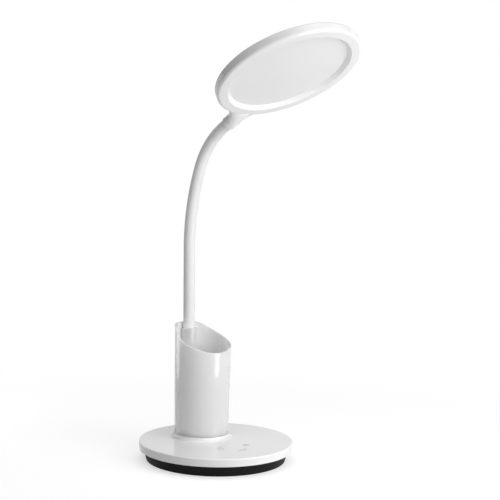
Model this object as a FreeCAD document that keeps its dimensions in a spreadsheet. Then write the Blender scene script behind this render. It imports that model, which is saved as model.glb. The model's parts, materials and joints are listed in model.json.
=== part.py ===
import FreeCAD, Part
import math
import os
import re
import Sketcher
from FreeCAD import Placement, Rotation, Vector

# Desk lamp with a round base, a slanted pen cup behind the middle, a bendable neck
# that rises from the back of the cup, and a flat round lamp head.
# Millimetres. X is to the right, -Y is to the front (under the head), Z is up.
# The origin is the middle of the base on the desk.

os.makedirs("parts", exist_ok=True)
doc = FreeCAD.newDocument("desk_lamp")
sheet = doc.addObject("Spreadsheet::Sheet", "sizes")

# name, value, meaning
SIZES = [
    ("base_radius", 82.5, "radius of the base cover at its top"),
    ("base_height", 20.4, "height of the base cover's top above the desk"),
    ("cover_depth", 8.4, "height of the cover's side"),
    ("cover_draft", 0.9, "how much narrower the cover is at its lower edge"),
    ("cover_wall", 2.2, "thickness of the cover"),
    ("cover_edge_round", 1.2, "rounding of the cover's upper edge"),
    ("tray_foot_inset", 8.3, "how much narrower the tray is at its bottom than the cover"),
    ("tray_top_inset", 4.9, "how much narrower the tray is where it meets the cover"),
    ("tray_lift", 0.6, "gap between the tray and the desk"),
    ("tray_floor", 2.0, "thickness of the tray's floor"),
    ("tray_wall", 2.0, "thickness of the tray's wall"),
    ("lip_rise", 0.6, "height of the lip above the cover's lower edge"),
    ("lip_height", 1.6, "thickness of the lip inside the cover"),
    ("lip_clearance", 0.2, "gap between the lip and the cover"),
    ("post_inset", 20.5, "distance of the base screws from the cover's edge"),
    ("post_radius", 3.6, "radius of a screw post"),
    ("tray_boss_radius", 4.4, "radius of a screw boss in the tray"),
    ("tray_boss_height", 2.0, "height of a screw boss above the tray's floor"),
    ("head_recess_depth", 2.4, "depth of the recess for a base screw's head"),
    ("small_head_radius", 2.8, "head radius of the small screws"),
    ("small_head_height", 1.7, "head height of the small screws"),
    ("small_shank_radius", 1.2, "shank radius of the small screws"),
    ("small_screw_reach", 8.0, "shank length of the base screws"),
    ("screw_hole_gap", 0.4, "gap around a screw in a clearance hole"),
    ("foot_radius", 6.5, "radius of a rubber foot"),
    ("foot_recess", 1.0, "depth of the recess for a rubber foot"),
    ("foot_inset", 22.5, "distance of the feet from the cover's edge"),
    ("plate_inset", 16.5, "how much narrower the weight plate is than the cover"),
    ("plate_gap", 0.4, "gap between the weight plate and the control board's connectors"),
    ("plate_seat", 1.0, "height of the seats that carry the weight plate"),
    ("plate_hole_radius", 5.2, "radius of the holes in the plate around the posts"),
    ("plate_screw_x_share", 0.576, "share of the plate's radius, for its screws, sideways"),
    ("plate_screw_y_share", 0.455, "share of the plate's radius, for its screws, front to back"),
    ("plate_head_radius", 3.5, "head radius of the plate screws"),
    ("plate_head_height", 2.2, "head height of the plate screws"),
    ("plate_shank_radius", 1.9, "shank radius of the plate screws"),
    ("plate_boss_radius", 5.0, "radius of the bosses under the plate screws"),
    ("inlet_half_width", 17.0, "half width of the notch for the power inlet"),
    ("inlet_notch_depth", 12.0, "depth of the notch from the plate's rim"),
    ("inlet_board_half_width", 15.0, "half width of the inlet board"),
    ("inlet_board_length", 15.0, "length of the inlet board"),
    ("inlet_board_inset", 11.5, "distance of the inlet board from the cover's edge"),
    ("board_thickness", 1.6, "thickness of a circuit board"),
    ("inlet_board_drop", 5.6, "distance of the inlet board's underside below the cover's edge"),
    ("inlet_width", 8.94, "width of the power inlet's shell"),
    ("inlet_height", 3.26, "height of the power inlet's shell"),
    ("inlet_length", 7.3, "length of the power inlet's shell"),
    ("inlet_mouth_inset", 6.1, "distance of the power inlet's mouth from the cover's edge"),
    ("inlet_shell", 0.3, "thickness of the power inlet's shell"),
    ("inlet_round_share", 0.45, "rounding of the power inlet's shell, as a share of its height"),
    ("inlet_gap", 0.3, "gap around the power inlet in the tray's wall"),
    ("tongue_half_width", 3.3, "half width of the power inlet's tongue"),
    ("tongue_thickness", 0.7, "thickness of the power inlet's tongue"),
    ("tongue_length", 4.6, "length of the power inlet's tongue"),
    ("inlet_peg_x", 11.0, "distance of the inlet board's pegs from the middle plane"),
    ("inlet_peg_radius", 2.5, "radius of the pegs that carry the inlet board"),
    ("board_left_gap", 6.2, "gap between the control board and the screw posts, left"),
    ("board_right_gap", 14.2, "gap between the control board and the screw posts, right"),
    ("board_front_inset", 20.5, "distance of the control board from the cover's front edge"),
    ("board_rear", 18.0, "distance of the control board's rear edge"),
    ("board_drop", 4.0, "gap between the cover and the control board"),
    ("board_peg_inset", 4.0, "distance of the board's pegs from its edges"),
    ("board_peg_radius", 2.4, "radius of the pegs that carry the control board"),
    ("peg_pin_radius", 1.0, "radius of a peg's pin through a board"),
    ("peg_pin_length", 2.2, "length of a peg's pin"),
    ("pin_gap", 0.1, "gap around a peg's pin"),
    ("chip_half", 4.0, "half width of the control chip"),
    ("chip_height", 1.2, "height of the control chip"),
    ("plug_length", 5.0, "length of a wire connector"),
    ("plug_half_width", 3.4, "half width of a wire connector"),
    ("plug_height", 3.6, "height of a wire connector under the control board"),
    ("electrode_radius", 5.0, "radius of a touch electrode"),
    ("electrode_round", 0.3, "rounding of a touch electrode's rim"),
    ("power_x_share", 0.679, "share of the board's left reach, for the power mark"),
    ("power_front_share", 0.309, "share of the board's depth, for the power mark"),
    ("mark_a_x_share", 0.304, "share of the board's right reach, for the first mark"),
    ("mark_a_front_share", 0.45, "share of the board's depth, for the first mark"),
    ("mark_b_x_share", 0.288, "share of the board's left reach, for the second mark"),
    ("mark_b_front_share", 0.743, "share of the board's depth, for the second mark"),
    ("wire_radius", 0.8, "radius of a wire in the base"),
    ("wire_x", 11.0, "distance of the first supply wire from the middle plane"),
    ("wire_pitch", 2.0, "distance between the supply wires"),
    ("wire_bend", 3.2, "bend radius of the wire that turns into the neck"),
    ("wire_rise", 8.0, "length of the wire inside the neck stem"),
    ("cup_setback", 23.4, "distance of the cup's axis behind the middle"),
    ("cup_foot_radius", 29.2, "radius of the cup at its foot"),
    ("cup_draft", 0.82, "angle by which the cup's wall opens upwards"),
    ("cup_wall", 1.8, "thickness of the cup's wall"),
    ("rim_round", 0.4, "rounding of the cup's rim"),
    ("cup_floor_rise", 7.6, "height of the hollow under the cup's floor"),
    ("cup_floor", 2.0, "thickness of the cup's floor"),
    ("cup_boss_radius", 3.5, "radius of a screw boss under the cup"),
    ("cup_screw_inset", 11.4, "distance of the cup screws from the cup's wall"),
    ("rim_low", 94.6, "height of the cup's rim at its lowest, from the foot"),
    ("rim_high", 122.3, "height of the cup's rim at its highest, from the foot"),
    ("collar_gap", 0.15, "gap between the cup and the collar on the cover"),
    ("collar_wall", 1.55, "thickness of the collar"),
    ("collar_height", 4.4, "height of the collar above the cover"),
    ("collar_round_share", 0.95, "share of the collar's height taken by the hollow at its foot"),
    ("neck_boss_wall", 2.0, "wall of the boss around the neck's sleeve"),
    ("neck_boss_lift", 0.3, "gap between the boss and the cover"),
    ("mouth_inset", 6.7, "distance of the boss's mouth below the rim's highest point"),
    ("neck_inset", 7.35, "distance of the neck at the mouth from the cup's outside"),
    ("neck_lean", 1.2, "angle by which the neck leans back at the mouth"),
    ("seat_depth", 12.0, "depth of the sleeve's seat in the boss"),
    ("seat_gap", 0.15, "gap around the sleeve in its seat"),
    ("stem_inset", 1.2, "how much thinner the stem is than the sleeve"),
    ("stem_gap", 0.25, "gap around the stem in the boss"),
    ("stem_wall", 2.0, "wall of the stem"),
    ("stem_reach", 6.2, "reach of the stem below the cover"),
    ("stem_hole_gap", 0.6, "gap around the stem in the cover"),
    ("washer_width", 4.0, "width of the stem's washer around the stem"),
    ("washer_thickness", 1.2, "thickness of the stem's washer"),
    ("nut_width", 2.6, "width of the stem's nut around the stem, over its corners"),
    ("nut_height", 4.2, "height of the stem's nut"),
    ("lean_allowance", 0.25, "room for the leaning washer under the cover"),
    ("thread_gap", 0.05, "gap between the stem and its nut"),
    ("sleeve_radius", 6.2, "radius of the neck's sleeve"),
    ("socket_gap", 0.3, "gap between two lengths of sleeve at a joint"),
    ("sleeve_wall", 2.2, "wall of the neck's sleeve with the gap to its core"),
    ("core_gap", 0.05, "gap between the core and the sleeve"),
    ("core_wall", 1.5, "wall of the neck's core"),
    ("core_tail_gap", 1.5, "how far a core stays inside the ball below its joint"),
    ("core_stop_gap", 0.4, "gap between a core's upper end and the next ball"),
    ("root_length", 26.5, "distance from the mouth to the first joint"),
    ("link_length", 30.0, "distance between two joints"),
    ("bow_radius", 236.1, "bend radius of the neck's upper middle"),
    ("hook_radius", 83.1, "bend radius of the neck's top"),
    ("neck_end_straight", 6.7, "straight end of the neck before the head"),
    ("head_tilt", 29.8, "angle by which the head rises to its tip"),
    ("neck_insert", 11.1, "length of the sleeve inside the head"),
    ("head_radius", 75.6, "radius of the head"),
    ("head_thickness", 10.5, "thickness of the head"),
    ("seam_depth", 4.0, "depth of the seam between bezel and back cover"),
    ("socket_length", 22.9, "length of the socket beyond the head's rim"),
    ("front_round", 3.0, "rounding of the head's front edge"),
    ("back_round", 2.6, "rounding of the head's back edge"),
    ("bezel_width", 10.6, "width of the bezel's flat face"),
    ("slope_width", 3.5, "width of the bezel's slope"),
    ("window_depth", 3.6, "depth of the bezel's slope"),
    ("window_lip", 0.4, "thickness of the bezel at the window"),
    ("bezel_wall", 2.0, "thickness of the bezel"),
    ("head_wall", 1.8, "thickness of the head's side wall"),
    ("back_wall", 1.6, "thickness of the back cover"),
    ("snap_wall", 1.2, "thickness of the bezel's snap lip"),
    ("snap_height", 2.0, "height of the snap lip above the seam"),
    ("snap_gap", 0.2, "gap between the snap lip and the back cover"),
    ("diffuser_lap", 2.1, "how far the diffuser reaches behind the window's edge"),
    ("diffuser_thickness", 1.2, "thickness of the diffuser"),
    ("diffuser_gap", 0.3, "gap around the diffuser"),
    ("holder_wall", 1.3, "thickness of the ribs around the light panel"),
    ("guide_inset", 2.0, "how much smaller the light guide is than the diffuser"),
    ("guide_thickness", 2.0, "thickness of the light guide"),
    ("sheet_thickness", 0.3, "thickness of the reflector sheet"),
    ("strip_thickness", 0.3, "thickness of the lamp strip"),
    ("strip_gap", 0.15, "gap between the lamp strip and its rib"),
    ("led_half_width", 1.4, "half width of a light chip"),
    ("led_height", 1.2, "height of a light chip"),
    ("led_gap", 0.2, "gap between a light chip and the light guide"),
    ("ring_length", 7.0, "length of the socket ring"),
    ("ring_wall", 1.3, "wall of the socket ring with its gap"),
    ("ring_gap", 0.15, "gap between the socket ring and the sleeve"),
    ("ring_round", 0.6, "rounding of the socket ring's edges"),
    ("tongue_root_inset", 10.0, "distance of the socket's root from the head's rim"),
    ("tongue_root_half_width", 30.0, "half width of the socket at its root"),
    ("socket_side_wall", 0.7, "width of the socket beside the ring"),
    ("socket_face_inset", 0.15, "how much flatter the socket is than the ring"),
    ("tongue_inset", 0.1, "inset of the socket's root from the head's faces"),
    ("fitting_side", 0.9, "wall of the neck's end fitting around the core"),
    ("fitting_gap", 0.15, "gap around the end fitting"),
    ("fitting_wall", 2.5, "depth of the end fitting beyond the core"),
    ("fitting_length", 8.0, "length of the end fitting's round part"),
    ("tang_half_width", 7.0, "half width of the end fitting's tang"),
    ("tang_low", 4.4, "depth of the tang's front face"),
    ("tang_thickness", 2.0, "thickness of the tang"),
    ("tang_end_inset", 10.0, "distance of the tang's end from the head's rim"),
    ("tang_slot", 2.6, "half width of the slot in the tang"),
    ("slot_roof", 0.5, "material between the tang's slot and the back cover's inside"),
    ("slot_end_inset", 17.0, "distance of the slot's end from the head's rim"),
    ("clamp_thickness", 1.0, "thickness of the neck clamp"),
    ("clamp_half_width", 13.0, "half width of the neck clamp"),
    ("clamp_half_length", 2.8, "half length of the neck clamp"),
    ("clamp_inset", 7.5, "distance of the clamp from the head's rim"),
    ("clamp_screw_x", 10.4, "distance of the clamp's screws from the middle plane"),
    ("clamp_post_radius", 2.6, "radius of the posts for the clamp screws"),
    ("clamp_head_radius", 2.2, "head radius of the clamp screws"),
    ("clamp_head_height", 1.1, "head height of the clamp screws"),
    ("clamp_shank_radius", 1.0, "shank radius of the clamp screws"),
    ("clamp_screw_stop", 1.3, "gap between the clamp screws' ends and the back cover"),
    ("head_wire_radius", 0.6, "radius of a wire in the head"),
    ("head_wire_x", 1.1, "distance of the head's wires from the middle plane"),
    ("head_wire_depth", 5.1, "depth of the head's wires"),
    ("overrun", 3.0, "how far a cut runs past the face it starts from"),
]

# name, formula, meaning
DERIVED = [
    ("cover_edge_height", "base_height - cover_depth", "height of the cover's lower edge"),
    ("tray_foot_radius", "base_radius - tray_foot_inset", "radius of the tray at its bottom"),
    ("tray_top_radius", "base_radius - tray_top_inset", "radius of the tray at the cover"),
    ("post_ring", "base_radius - post_inset", "radius of the ring of the base screws"),
    ("foot_ring", "base_radius - foot_inset", "radius of the ring of the feet"),
    ("plate_radius", "base_radius - plate_inset", "radius of the weight plate"),
    ("plate_screw_x", "plate_radius * plate_screw_x_share", "place of the plate screws, sideways"),
    ("plate_screw_y", "plate_radius * plate_screw_y_share", "place of the plate screws, to the back"),
    ("inlet_notch_start", "plate_radius - inlet_notch_depth", "distance of the notch's end"),
    ("inlet_board_end", "base_radius - inlet_board_inset", "distance of the inlet board's outer edge"),
    ("inlet_board_start", "inlet_board_end - inlet_board_length",
     "distance of the inlet board's inner edge"),
    ("inlet_board_height", "cover_edge_height - inlet_board_drop",
     "height of the inlet board's underside"),
    ("inlet_mouth", "base_radius - inlet_mouth_inset", "distance of the power inlet's mouth"),
    ("cover_inner_top", "base_height - cover_wall", "height of the cover's underside"),
    ("tray_floor_top", "tray_lift + tray_floor", "height of the tray's inner floor"),
    ("lip_low", "cover_edge_height + lip_rise", "height of the lip's lower face"),
    ("lip_high", "lip_low + lip_height", "height of the lip's upper face"),
    ("lip_radius", "base_radius - cover_draft - cover_wall - lip_clearance", "radius of the lip"),
    ("boss_top", "tray_floor_top + tray_boss_height", "height of the tray's bosses"),
    ("recess_top", "tray_lift + head_recess_depth", "height of the screw recess's roof"),
    ("board_high", "cover_inner_top - board_drop", "height of the control board's top"),
    ("board_low", "board_high - board_thickness", "height of the control board's underside"),
    ("plate_low", "tray_floor_top + plate_seat", "height of the weight plate's underside"),
    ("plate_high", "board_low - plug_height - plate_gap", "height of the weight plate's top"),
    ("plate_thickness", "plate_high - plate_low", "thickness of the weight plate"),
    ("inlet_board_top", "inlet_board_height + board_thickness", "height of the inlet board's top"),
    ("wire_height", "inlet_board_top + plug_height / 2", "height of the wires in the base"),
    ("post_side", "post_ring * cos(45) - post_radius", "distance of the posts' inner sides"),
    ("board_left", "post_side - board_left_gap", "reach of the control board to the left"),
    ("board_right", "post_side - board_right_gap", "reach of the control board to the right"),
    ("board_front", "base_radius - board_front_inset", "distance of the board's front edge"),
    ("board_depth", "board_front - board_rear", "depth of the control board"),
    ("power_x", "-board_left * power_x_share", "place of the power mark, sideways"),
    ("power_front", "board_rear + board_depth * power_front_share", "the same, to the front"),
    ("mark_a_x", "board_right * mark_a_x_share", "place of the first mark, sideways"),
    ("mark_a_front", "board_rear + board_depth * mark_a_front_share", "the same, to the front"),
    ("mark_b_x", "-board_left * mark_b_x_share", "place of the second mark, sideways"),
    ("mark_b_front", "board_rear + board_depth * mark_b_front_share", "the same, to the front"),
    ("inlet_middle", "inlet_board_top + inlet_height / 2", "height of the power inlet's middle"),
    ("cup_inner_foot", "cup_foot_radius - cup_wall", "inner radius of the cup at its foot"),
    ("cup_screw_ring", "cup_inner_foot - cup_screw_inset", "radius of the ring of the cup screws"),
    ("cup_top", "rim_high + overrun", "height of the cup before its rim is cut"),
    ("cup_top_radius", "cup_foot_radius + cup_top * tan(cup_draft)", "radius of the cup there"),
    ("collar_inner", "cup_foot_radius + collar_gap", "inner radius of the collar"),
    ("mouth_rise", "rim_high - mouth_inset", "height of the boss's mouth above the cover"),
    ("neck_mouth_height", "base_height + mouth_rise", "height of the boss's mouth above the desk"),
    ("cup_mouth_radius", "cup_foot_radius + mouth_rise * tan(cup_draft)",
     "radius of the cup at the boss's mouth"),
    ("neck_setback", "cup_setback + cup_mouth_radius - neck_inset",
     "distance of the neck behind the middle at the mouth"),
    ("neck_boss_radius", "sleeve_radius + neck_boss_wall", "radius of the boss around the neck"),
    ("stem_radius", "sleeve_radius - stem_inset", "radius of the neck's stem"),
    ("stem_bore", "stem_radius - stem_wall", "radius of the stem's bore"),
    ("stem_end_height", "cover_inner_top - stem_reach", "height of the stem's lower end"),
    ("washer_radius", "stem_radius + washer_width", "radius of the stem's washer"),
    ("nut_radius", "stem_radius + nut_width", "radius over the corners of the stem's nut"),
    ("core_radius", "sleeve_radius - sleeve_wall", "radius of the neck's core"),
    ("core_bore", "core_radius - core_wall", "radius of the core's bore"),
    ("core_tail", "sleeve_radius - core_tail_gap", "reach of a core below its joint"),
    ("core_stop", "sleeve_radius + core_stop_gap",
     "distance from a core's upper end to the next joint"),
    ("neck_foot_setback", "neck_setback - mouth_rise * tan(neck_lean)",
     "distance of the neck's axis behind the middle at the cover"),
    ("boss_length", "mouth_rise / cos(neck_lean)", "length of the boss along the neck"),
    ("stem_length", "(neck_mouth_height - stem_end_height) / cos(neck_lean) - seat_depth",
     "length of the stem"),
    ("bow_angle", "link_length / bow_radius * 180 / pi", "bend of one link in the upper middle"),
    ("hook_angle", "link_length / hook_radius * 180 / pi", "bend of the link in the neck's top"),
    ("last_angle", "90 - head_tilt + neck_lean - 3 * bow_angle - hook_angle",
     "bend of the sleeve that enters the head"),
    ("socket_radius", "sleeve_radius + socket_gap", "radius of the round hollow at a joint"),
    ("mouth_reach", "head_radius + socket_length", "distance of the socket's mouth from the middle"),
    ("tongue_root", "head_radius - tongue_root_inset", "distance of the socket's root"),
    ("tang_end", "head_radius - tang_end_inset", "distance of the tang's end from the middle"),
    ("slot_end", "head_radius - slot_end_inset", "distance of the slot's end from the middle"),
    ("clamp_y", "head_radius - clamp_inset", "distance of the clamp from the head's middle"),
    ("bezel_inner", "head_radius - bezel_width", "radius where the bezel's flat face ends"),
    ("window_radius", "bezel_inner - slope_width", "radius of the lit window"),
    ("diffuser_radius", "window_radius + diffuser_lap", "radius of the diffuser"),
    ("guide_radius", "diffuser_radius - guide_inset", "radius of the light guide"),
    ("ring_radius", "sleeve_radius + ring_wall", "outer radius of the socket ring"),
    ("socket_half_width", "ring_radius + socket_side_wall", "half width of the socket at the ring"),
    ("socket_half_height", "ring_radius - socket_face_inset", "half height of the socket there"),
    ("fitting_radius", "core_radius + fitting_side", "radius of the neck's end fitting"),
    ("sleeve_bore", "core_radius + core_gap", "radius of the sleeve's bore"),
    ("sleeve_end", "mouth_reach - neck_insert", "distance of the sleeve's end from the head's middle"),
    ("fitting_low", "sleeve_end - fitting_length", "distance of the fitting's round end"),
    ("core_end", "fitting_low + fitting_wall", "distance of the core's end from the head's middle"),
    ("ring_low", "mouth_reach - ring_length", "distance of the socket ring's inner end"),
    ("inner_radius", "head_radius - head_wall", "inner radius of the head"),
    ("back_inner", "head_thickness - back_wall", "depth of the back cover's inner face"),
    ("slot_top", "back_inner - slot_roof", "depth of the slot for the tang and the wires"),
    ("diffuser_low", "window_depth + window_lip", "depth of the diffuser's front"),
    ("diffuser_high", "diffuser_low + diffuser_thickness", "depth of the diffuser's back"),
    ("holder_inner", "diffuser_radius + diffuser_gap", "inner radius of the ribs"),
    ("strip_outer", "holder_inner - strip_gap", "outer radius of the lamp strip"),
    ("strip_inner", "strip_outer - strip_thickness", "inner radius of the lamp strip"),
    ("guide_high", "diffuser_high + guide_thickness", "depth of the light guide's back"),
    ("clamp_low", "tang_low - clamp_thickness", "depth of the clamp's front face"),
    ("clamp_shank_length", "back_inner - clamp_screw_stop - clamp_low",
     "shank length of the clamp screws"),
]

# The rim's height around the cup: angle from the front towards +X in degrees,
# and the share of the way from the lowest to the highest rim.
RIM_SHARES = [
    (-180, 0.99), (-155, 1.00), (-137, 0.99), (-120, 0.89), (-110, 0.73), (-100, 0.54),
    (-85, 0.35), (-60, 0.17), (-35, 0.04), (-10, 0.00), (15, 0.05), (45, 0.17),
    (70, 0.28), (90, 0.41), (110, 0.58), (130, 0.76), (150, 0.94), (165, 0.99),
]

# The head's socket from its root to the ring: shares of the way for the place, the
# half width, the half height and the middle's depth.
SOCKET_SHARES = [
    (0.00, 0.00, 0.00, 0.00), (0.15, 0.14, 0.02, 0.00), (0.42, 0.60, 0.23, 0.32),
    (0.68, 0.87, 0.57, 0.76), (1.00, 1.00, 1.00, 1.00),
]

SECTION_STEPS = 16
CORNERS = 4
CHIPS = 36
TOLERANCE = 0.01
NAMES = set()


def fill_sheet():
    """Write every size and every derived size into the sheet under its own name."""
    row = 1
    for name, value, meaning in SIZES:
        sheet.set("A%d" % row, meaning)
        sheet.set("B%d" % row, str(value))
        sheet.setAlias("B%d" % row, name)
        NAMES.add(name)
        row += 1
    for name, formula, meaning in DERIVED:
        sheet.set("A%d" % row, meaning)
        sheet.set("B%d" % row, "=" + formula)
        sheet.setAlias("B%d" % row, name)
        NAMES.add(name)
        row += 1
    doc.recompute()


def bound(text):
    """The expression with each size name pointing into the sheet."""
    return re.sub(r"[a-z_]+", lambda found: "sizes." + found.group() if found.group() in NAMES
                  else found.group(), text)


def size(text):
    """The present value of an expression of size names."""
    value = sheet.evalExpression(bound(text))
    return float(getattr(value, "Value", value))


def new_body(label, place=Placement()):
    body = doc.addObject("PartDesign::Body", label)
    body.Label = label
    body.AllowCompound = True
    body.Placement = place
    return body


def plane_of(body, role):
    return [item for item in body.Origin.OriginFeatures if item.Role == role][0]


def attach(item, body, role, shift=("0", "0", "0"), turn=None):
    """Lay an item on a base plane, moved by three expressions and turned about its own x."""
    item.AttachmentSupport = [(plane_of(body, role), "")]
    item.MapMode = "FlatFace"
    angle = size(turn) if turn else 0
    spot = Vector(size(shift[0]), size(shift[1]), size(shift[2]))
    item.AttachmentOffset = Placement(spot, Rotation(Vector(1, 0, 0), angle))
    for letter, text in zip("xyz", shift):
        if text != "0":
            item.setExpression(".AttachmentOffset.Base." + letter, bound(text))
    if turn:
        item.setExpression(".AttachmentOffset.Rotation.Angle", bound(turn))


def new_sketch(body, role, shift=("0", "0", "0"), turn=None):
    item = body.newObject("Sketcher::SketchObject", body.Name + "_outline")
    attach(item, body, role, shift, turn)
    return item


def fix_point(item, shape, point, x, y):
    """Tie one point of a sketch to two expressions."""
    for kind, axis, text in (("DistanceX", -2, x), ("DistanceY", -1, y)):
        if text == "0":
            item.addConstraint(Sketcher.Constraint("PointOnObject", shape, point, axis))
        else:
            tie = Sketcher.Constraint(kind, -1, 1, shape, point, size(text))
            item.setExpression("Constraints[%d]" % item.addConstraint(tie), bound(text))


def circle(item, x, y, radius):
    """A circle whose middle and radius follow expressions."""
    spot = Vector(size(x), size(y), 0)
    shape = item.addGeometry(Part.Circle(spot, Vector(0, 0, 1), size(radius)), False)
    fix_point(item, shape, 3, x, y)
    tie = Sketcher.Constraint("Radius", shape, size(radius))
    item.setExpression("Constraints[%d]" % item.addConstraint(tie), bound(radius))


def outline(item, corners):
    """A closed outline whose corners follow expressions."""
    spots = [Vector(size(x), size(y), 0) for x, y in corners]
    lines = [Part.LineSegment(a, b) for a, b in zip(spots, spots[1:] + spots[:1])]
    shapes = item.addGeometry(lines, False)
    for shape, following in zip(shapes, list(shapes[1:]) + [shapes[0]]):
        item.addConstraint(Sketcher.Constraint("Coincident", shape, 2, following, 1))
    for shape, (x, y) in zip(shapes, corners):
        fix_point(item, shape, 1, x, y)


def rectangle(item, left, low, right, high):
    outline(item, [(left, low), (right, low), (right, high), (left, high)])


def bend_axis(item, radius):
    """A line across the neck at the bend radius in front of it, for turning the sketch."""
    reach = size("sleeve_radius")
    y = -size(radius)
    line = Part.LineSegment(Vector(-reach, y, 0), Vector(reach, y, 0))
    shape = item.addGeometry(line, True)
    fix_point(item, shape, 1, "-sleeve_radius", "-" + radius)
    fix_point(item, shape, 2, "sleeve_radius", "-" + radius)


def turned(body, item, kind="Revolution", axis="V_Axis", angle="360"):
    feature = body.newObject("PartDesign::" + kind, body.Name + "_turned")
    feature.Profile = item
    feature.ReferenceAxis = (item, [axis])
    feature.setExpression("Angle", bound(angle))
    item.Visibility = False
    return feature


def padded(body, item, length, reverse=False):
    feature = body.newObject("PartDesign::Pad", body.Name + "_raised")
    feature.Profile = item
    feature.setExpression("Length", bound(length))
    feature.Reversed = reverse
    item.Visibility = False
    return feature


def pocket(body, item, length, reverse=False):
    feature = body.newObject("PartDesign::Pocket", body.Name + "_sunk")
    feature.Profile = item
    feature.setExpression("Length", bound(length))
    feature.Reversed = reverse
    item.Visibility = False
    return feature


def through(body, item):
    feature = body.newObject("PartDesign::Pocket", body.Name + "_hole")
    feature.Profile = item
    feature.Type = "ThroughAll"
    feature.Midplane = True
    item.Visibility = False
    return feature


def ball(body, kind, radius, shift=("0", "0", "0")):
    feature = body.newObject("PartDesign::" + kind, body.Name + "_ball")
    attach(feature, body, "XY_Plane", shift)
    feature.setExpression("Radius", bound(radius))
    return feature


def repeated(body, originals, count):
    feature = body.newObject("PartDesign::PolarPattern", body.Name + "_ring")
    feature.Originals = originals
    feature.Axis = (plane_of(body, "Z_Axis"), [""])
    feature.Angle = 360
    feature.Occurrences = count
    body.Tip = feature
    return feature


def edges_where(shape, test):
    """The names of the edges for which the test holds."""
    return ["Edge%d" % (number + 1) for number, edge in enumerate(shape.Edges) if test(edge)]


def rounded(body, test, radius):
    """Round the edges of the body's last feature that pass the test."""
    doc.recompute()
    base = body.Tip
    feature = body.newObject("PartDesign::Fillet", body.Name + "_rounded")
    feature.Base = (base, edges_where(base.Shape, test))
    feature.setExpression("Radius", bound(radius))
    return feature


def ring_edge(radius, height):
    """A test for the circular edge of this radius at this height about the Z axis."""
    def test(edge):
        if not hasattr(edge.Curve, "Radius"):
            return False
        near = abs(edge.Curve.Radius - size(radius)) < TOLERANCE
        level = abs(edge.Curve.Center.z - size(height)) < TOLERANCE
        return near and level
    return test


fill_sheet()


def base_cover():
    body = new_body("base_cover")
    item = new_sketch(body, "XZ_Plane")
    outline(item, [
        ("0", "base_height"), ("base_radius", "base_height"),
        ("base_radius - cover_draft", "cover_edge_height"),
        ("base_radius - cover_draft - cover_wall", "cover_edge_height"),
        ("base_radius - cover_wall", "cover_inner_top"), ("0", "cover_inner_top"),
    ])
    turned(body, item)
    rounded(body, ring_edge("base_radius", "base_height"), "cover_edge_round")
    item = new_sketch(body, "XY_Plane", ("0", "cup_setback", "base_height"))
    circle(item, "0", "0", "collar_inner + collar_wall")
    circle(item, "0", "0", "collar_inner")
    padded(body, item, "collar_height")
    rounded(body, ring_edge("collar_inner + collar_wall", "base_height"),
            "collar_round_share * collar_height")
    # posts for the base screws, and pegs for the control board
    item = new_sketch(body, "XY_Plane", ("0", "0", "cover_inner_top"))
    for corner in range(CORNERS):
        x = "post_ring * cos(%d * 90 + 45)" % corner
        y = "post_ring * sin(%d * 90 + 45)" % corner
        circle(item, x, y, "post_radius")
        circle(item, x, y, "small_shank_radius")
    padded(body, item, "cover_inner_top - boss_top", reverse=True)
    for radius, length in (("board_peg_radius", "board_drop"),
                           ("peg_pin_radius", "board_drop + peg_pin_length")):
        item = new_sketch(body, "XY_Plane", ("0", "0", "cover_inner_top"))
        for x, y in board_pegs():
            circle(item, x, y, radius)
        padded(body, item, length, reverse=True)
    # holes for the neck's stem and for the cup's screws
    item = new_sketch(body, "XY_Plane", ("0", "0", "base_height"))
    circle(item, "0", "neck_foot_setback", "stem_radius + stem_hole_gap")
    for x, y in cup_screw_spots():
        circle(item, x, "cup_setback + " + y, "small_shank_radius + screw_hole_gap")
    pocket(body, item, "cover_wall + overrun")
    return body


def board_pegs():
    left = "board_peg_inset - board_left"
    right = "board_right - board_peg_inset"
    front = "board_peg_inset - board_front"
    rear = "-board_rear - board_peg_inset"
    return [(left, front), (right, front), (right, rear), (left, rear)]


def cup_screw_spots():
    return [("cup_screw_ring * cos(%d)" % angle, "cup_screw_ring * sin(%d)" % angle)
            for angle in (-90, 30, 150)]


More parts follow.
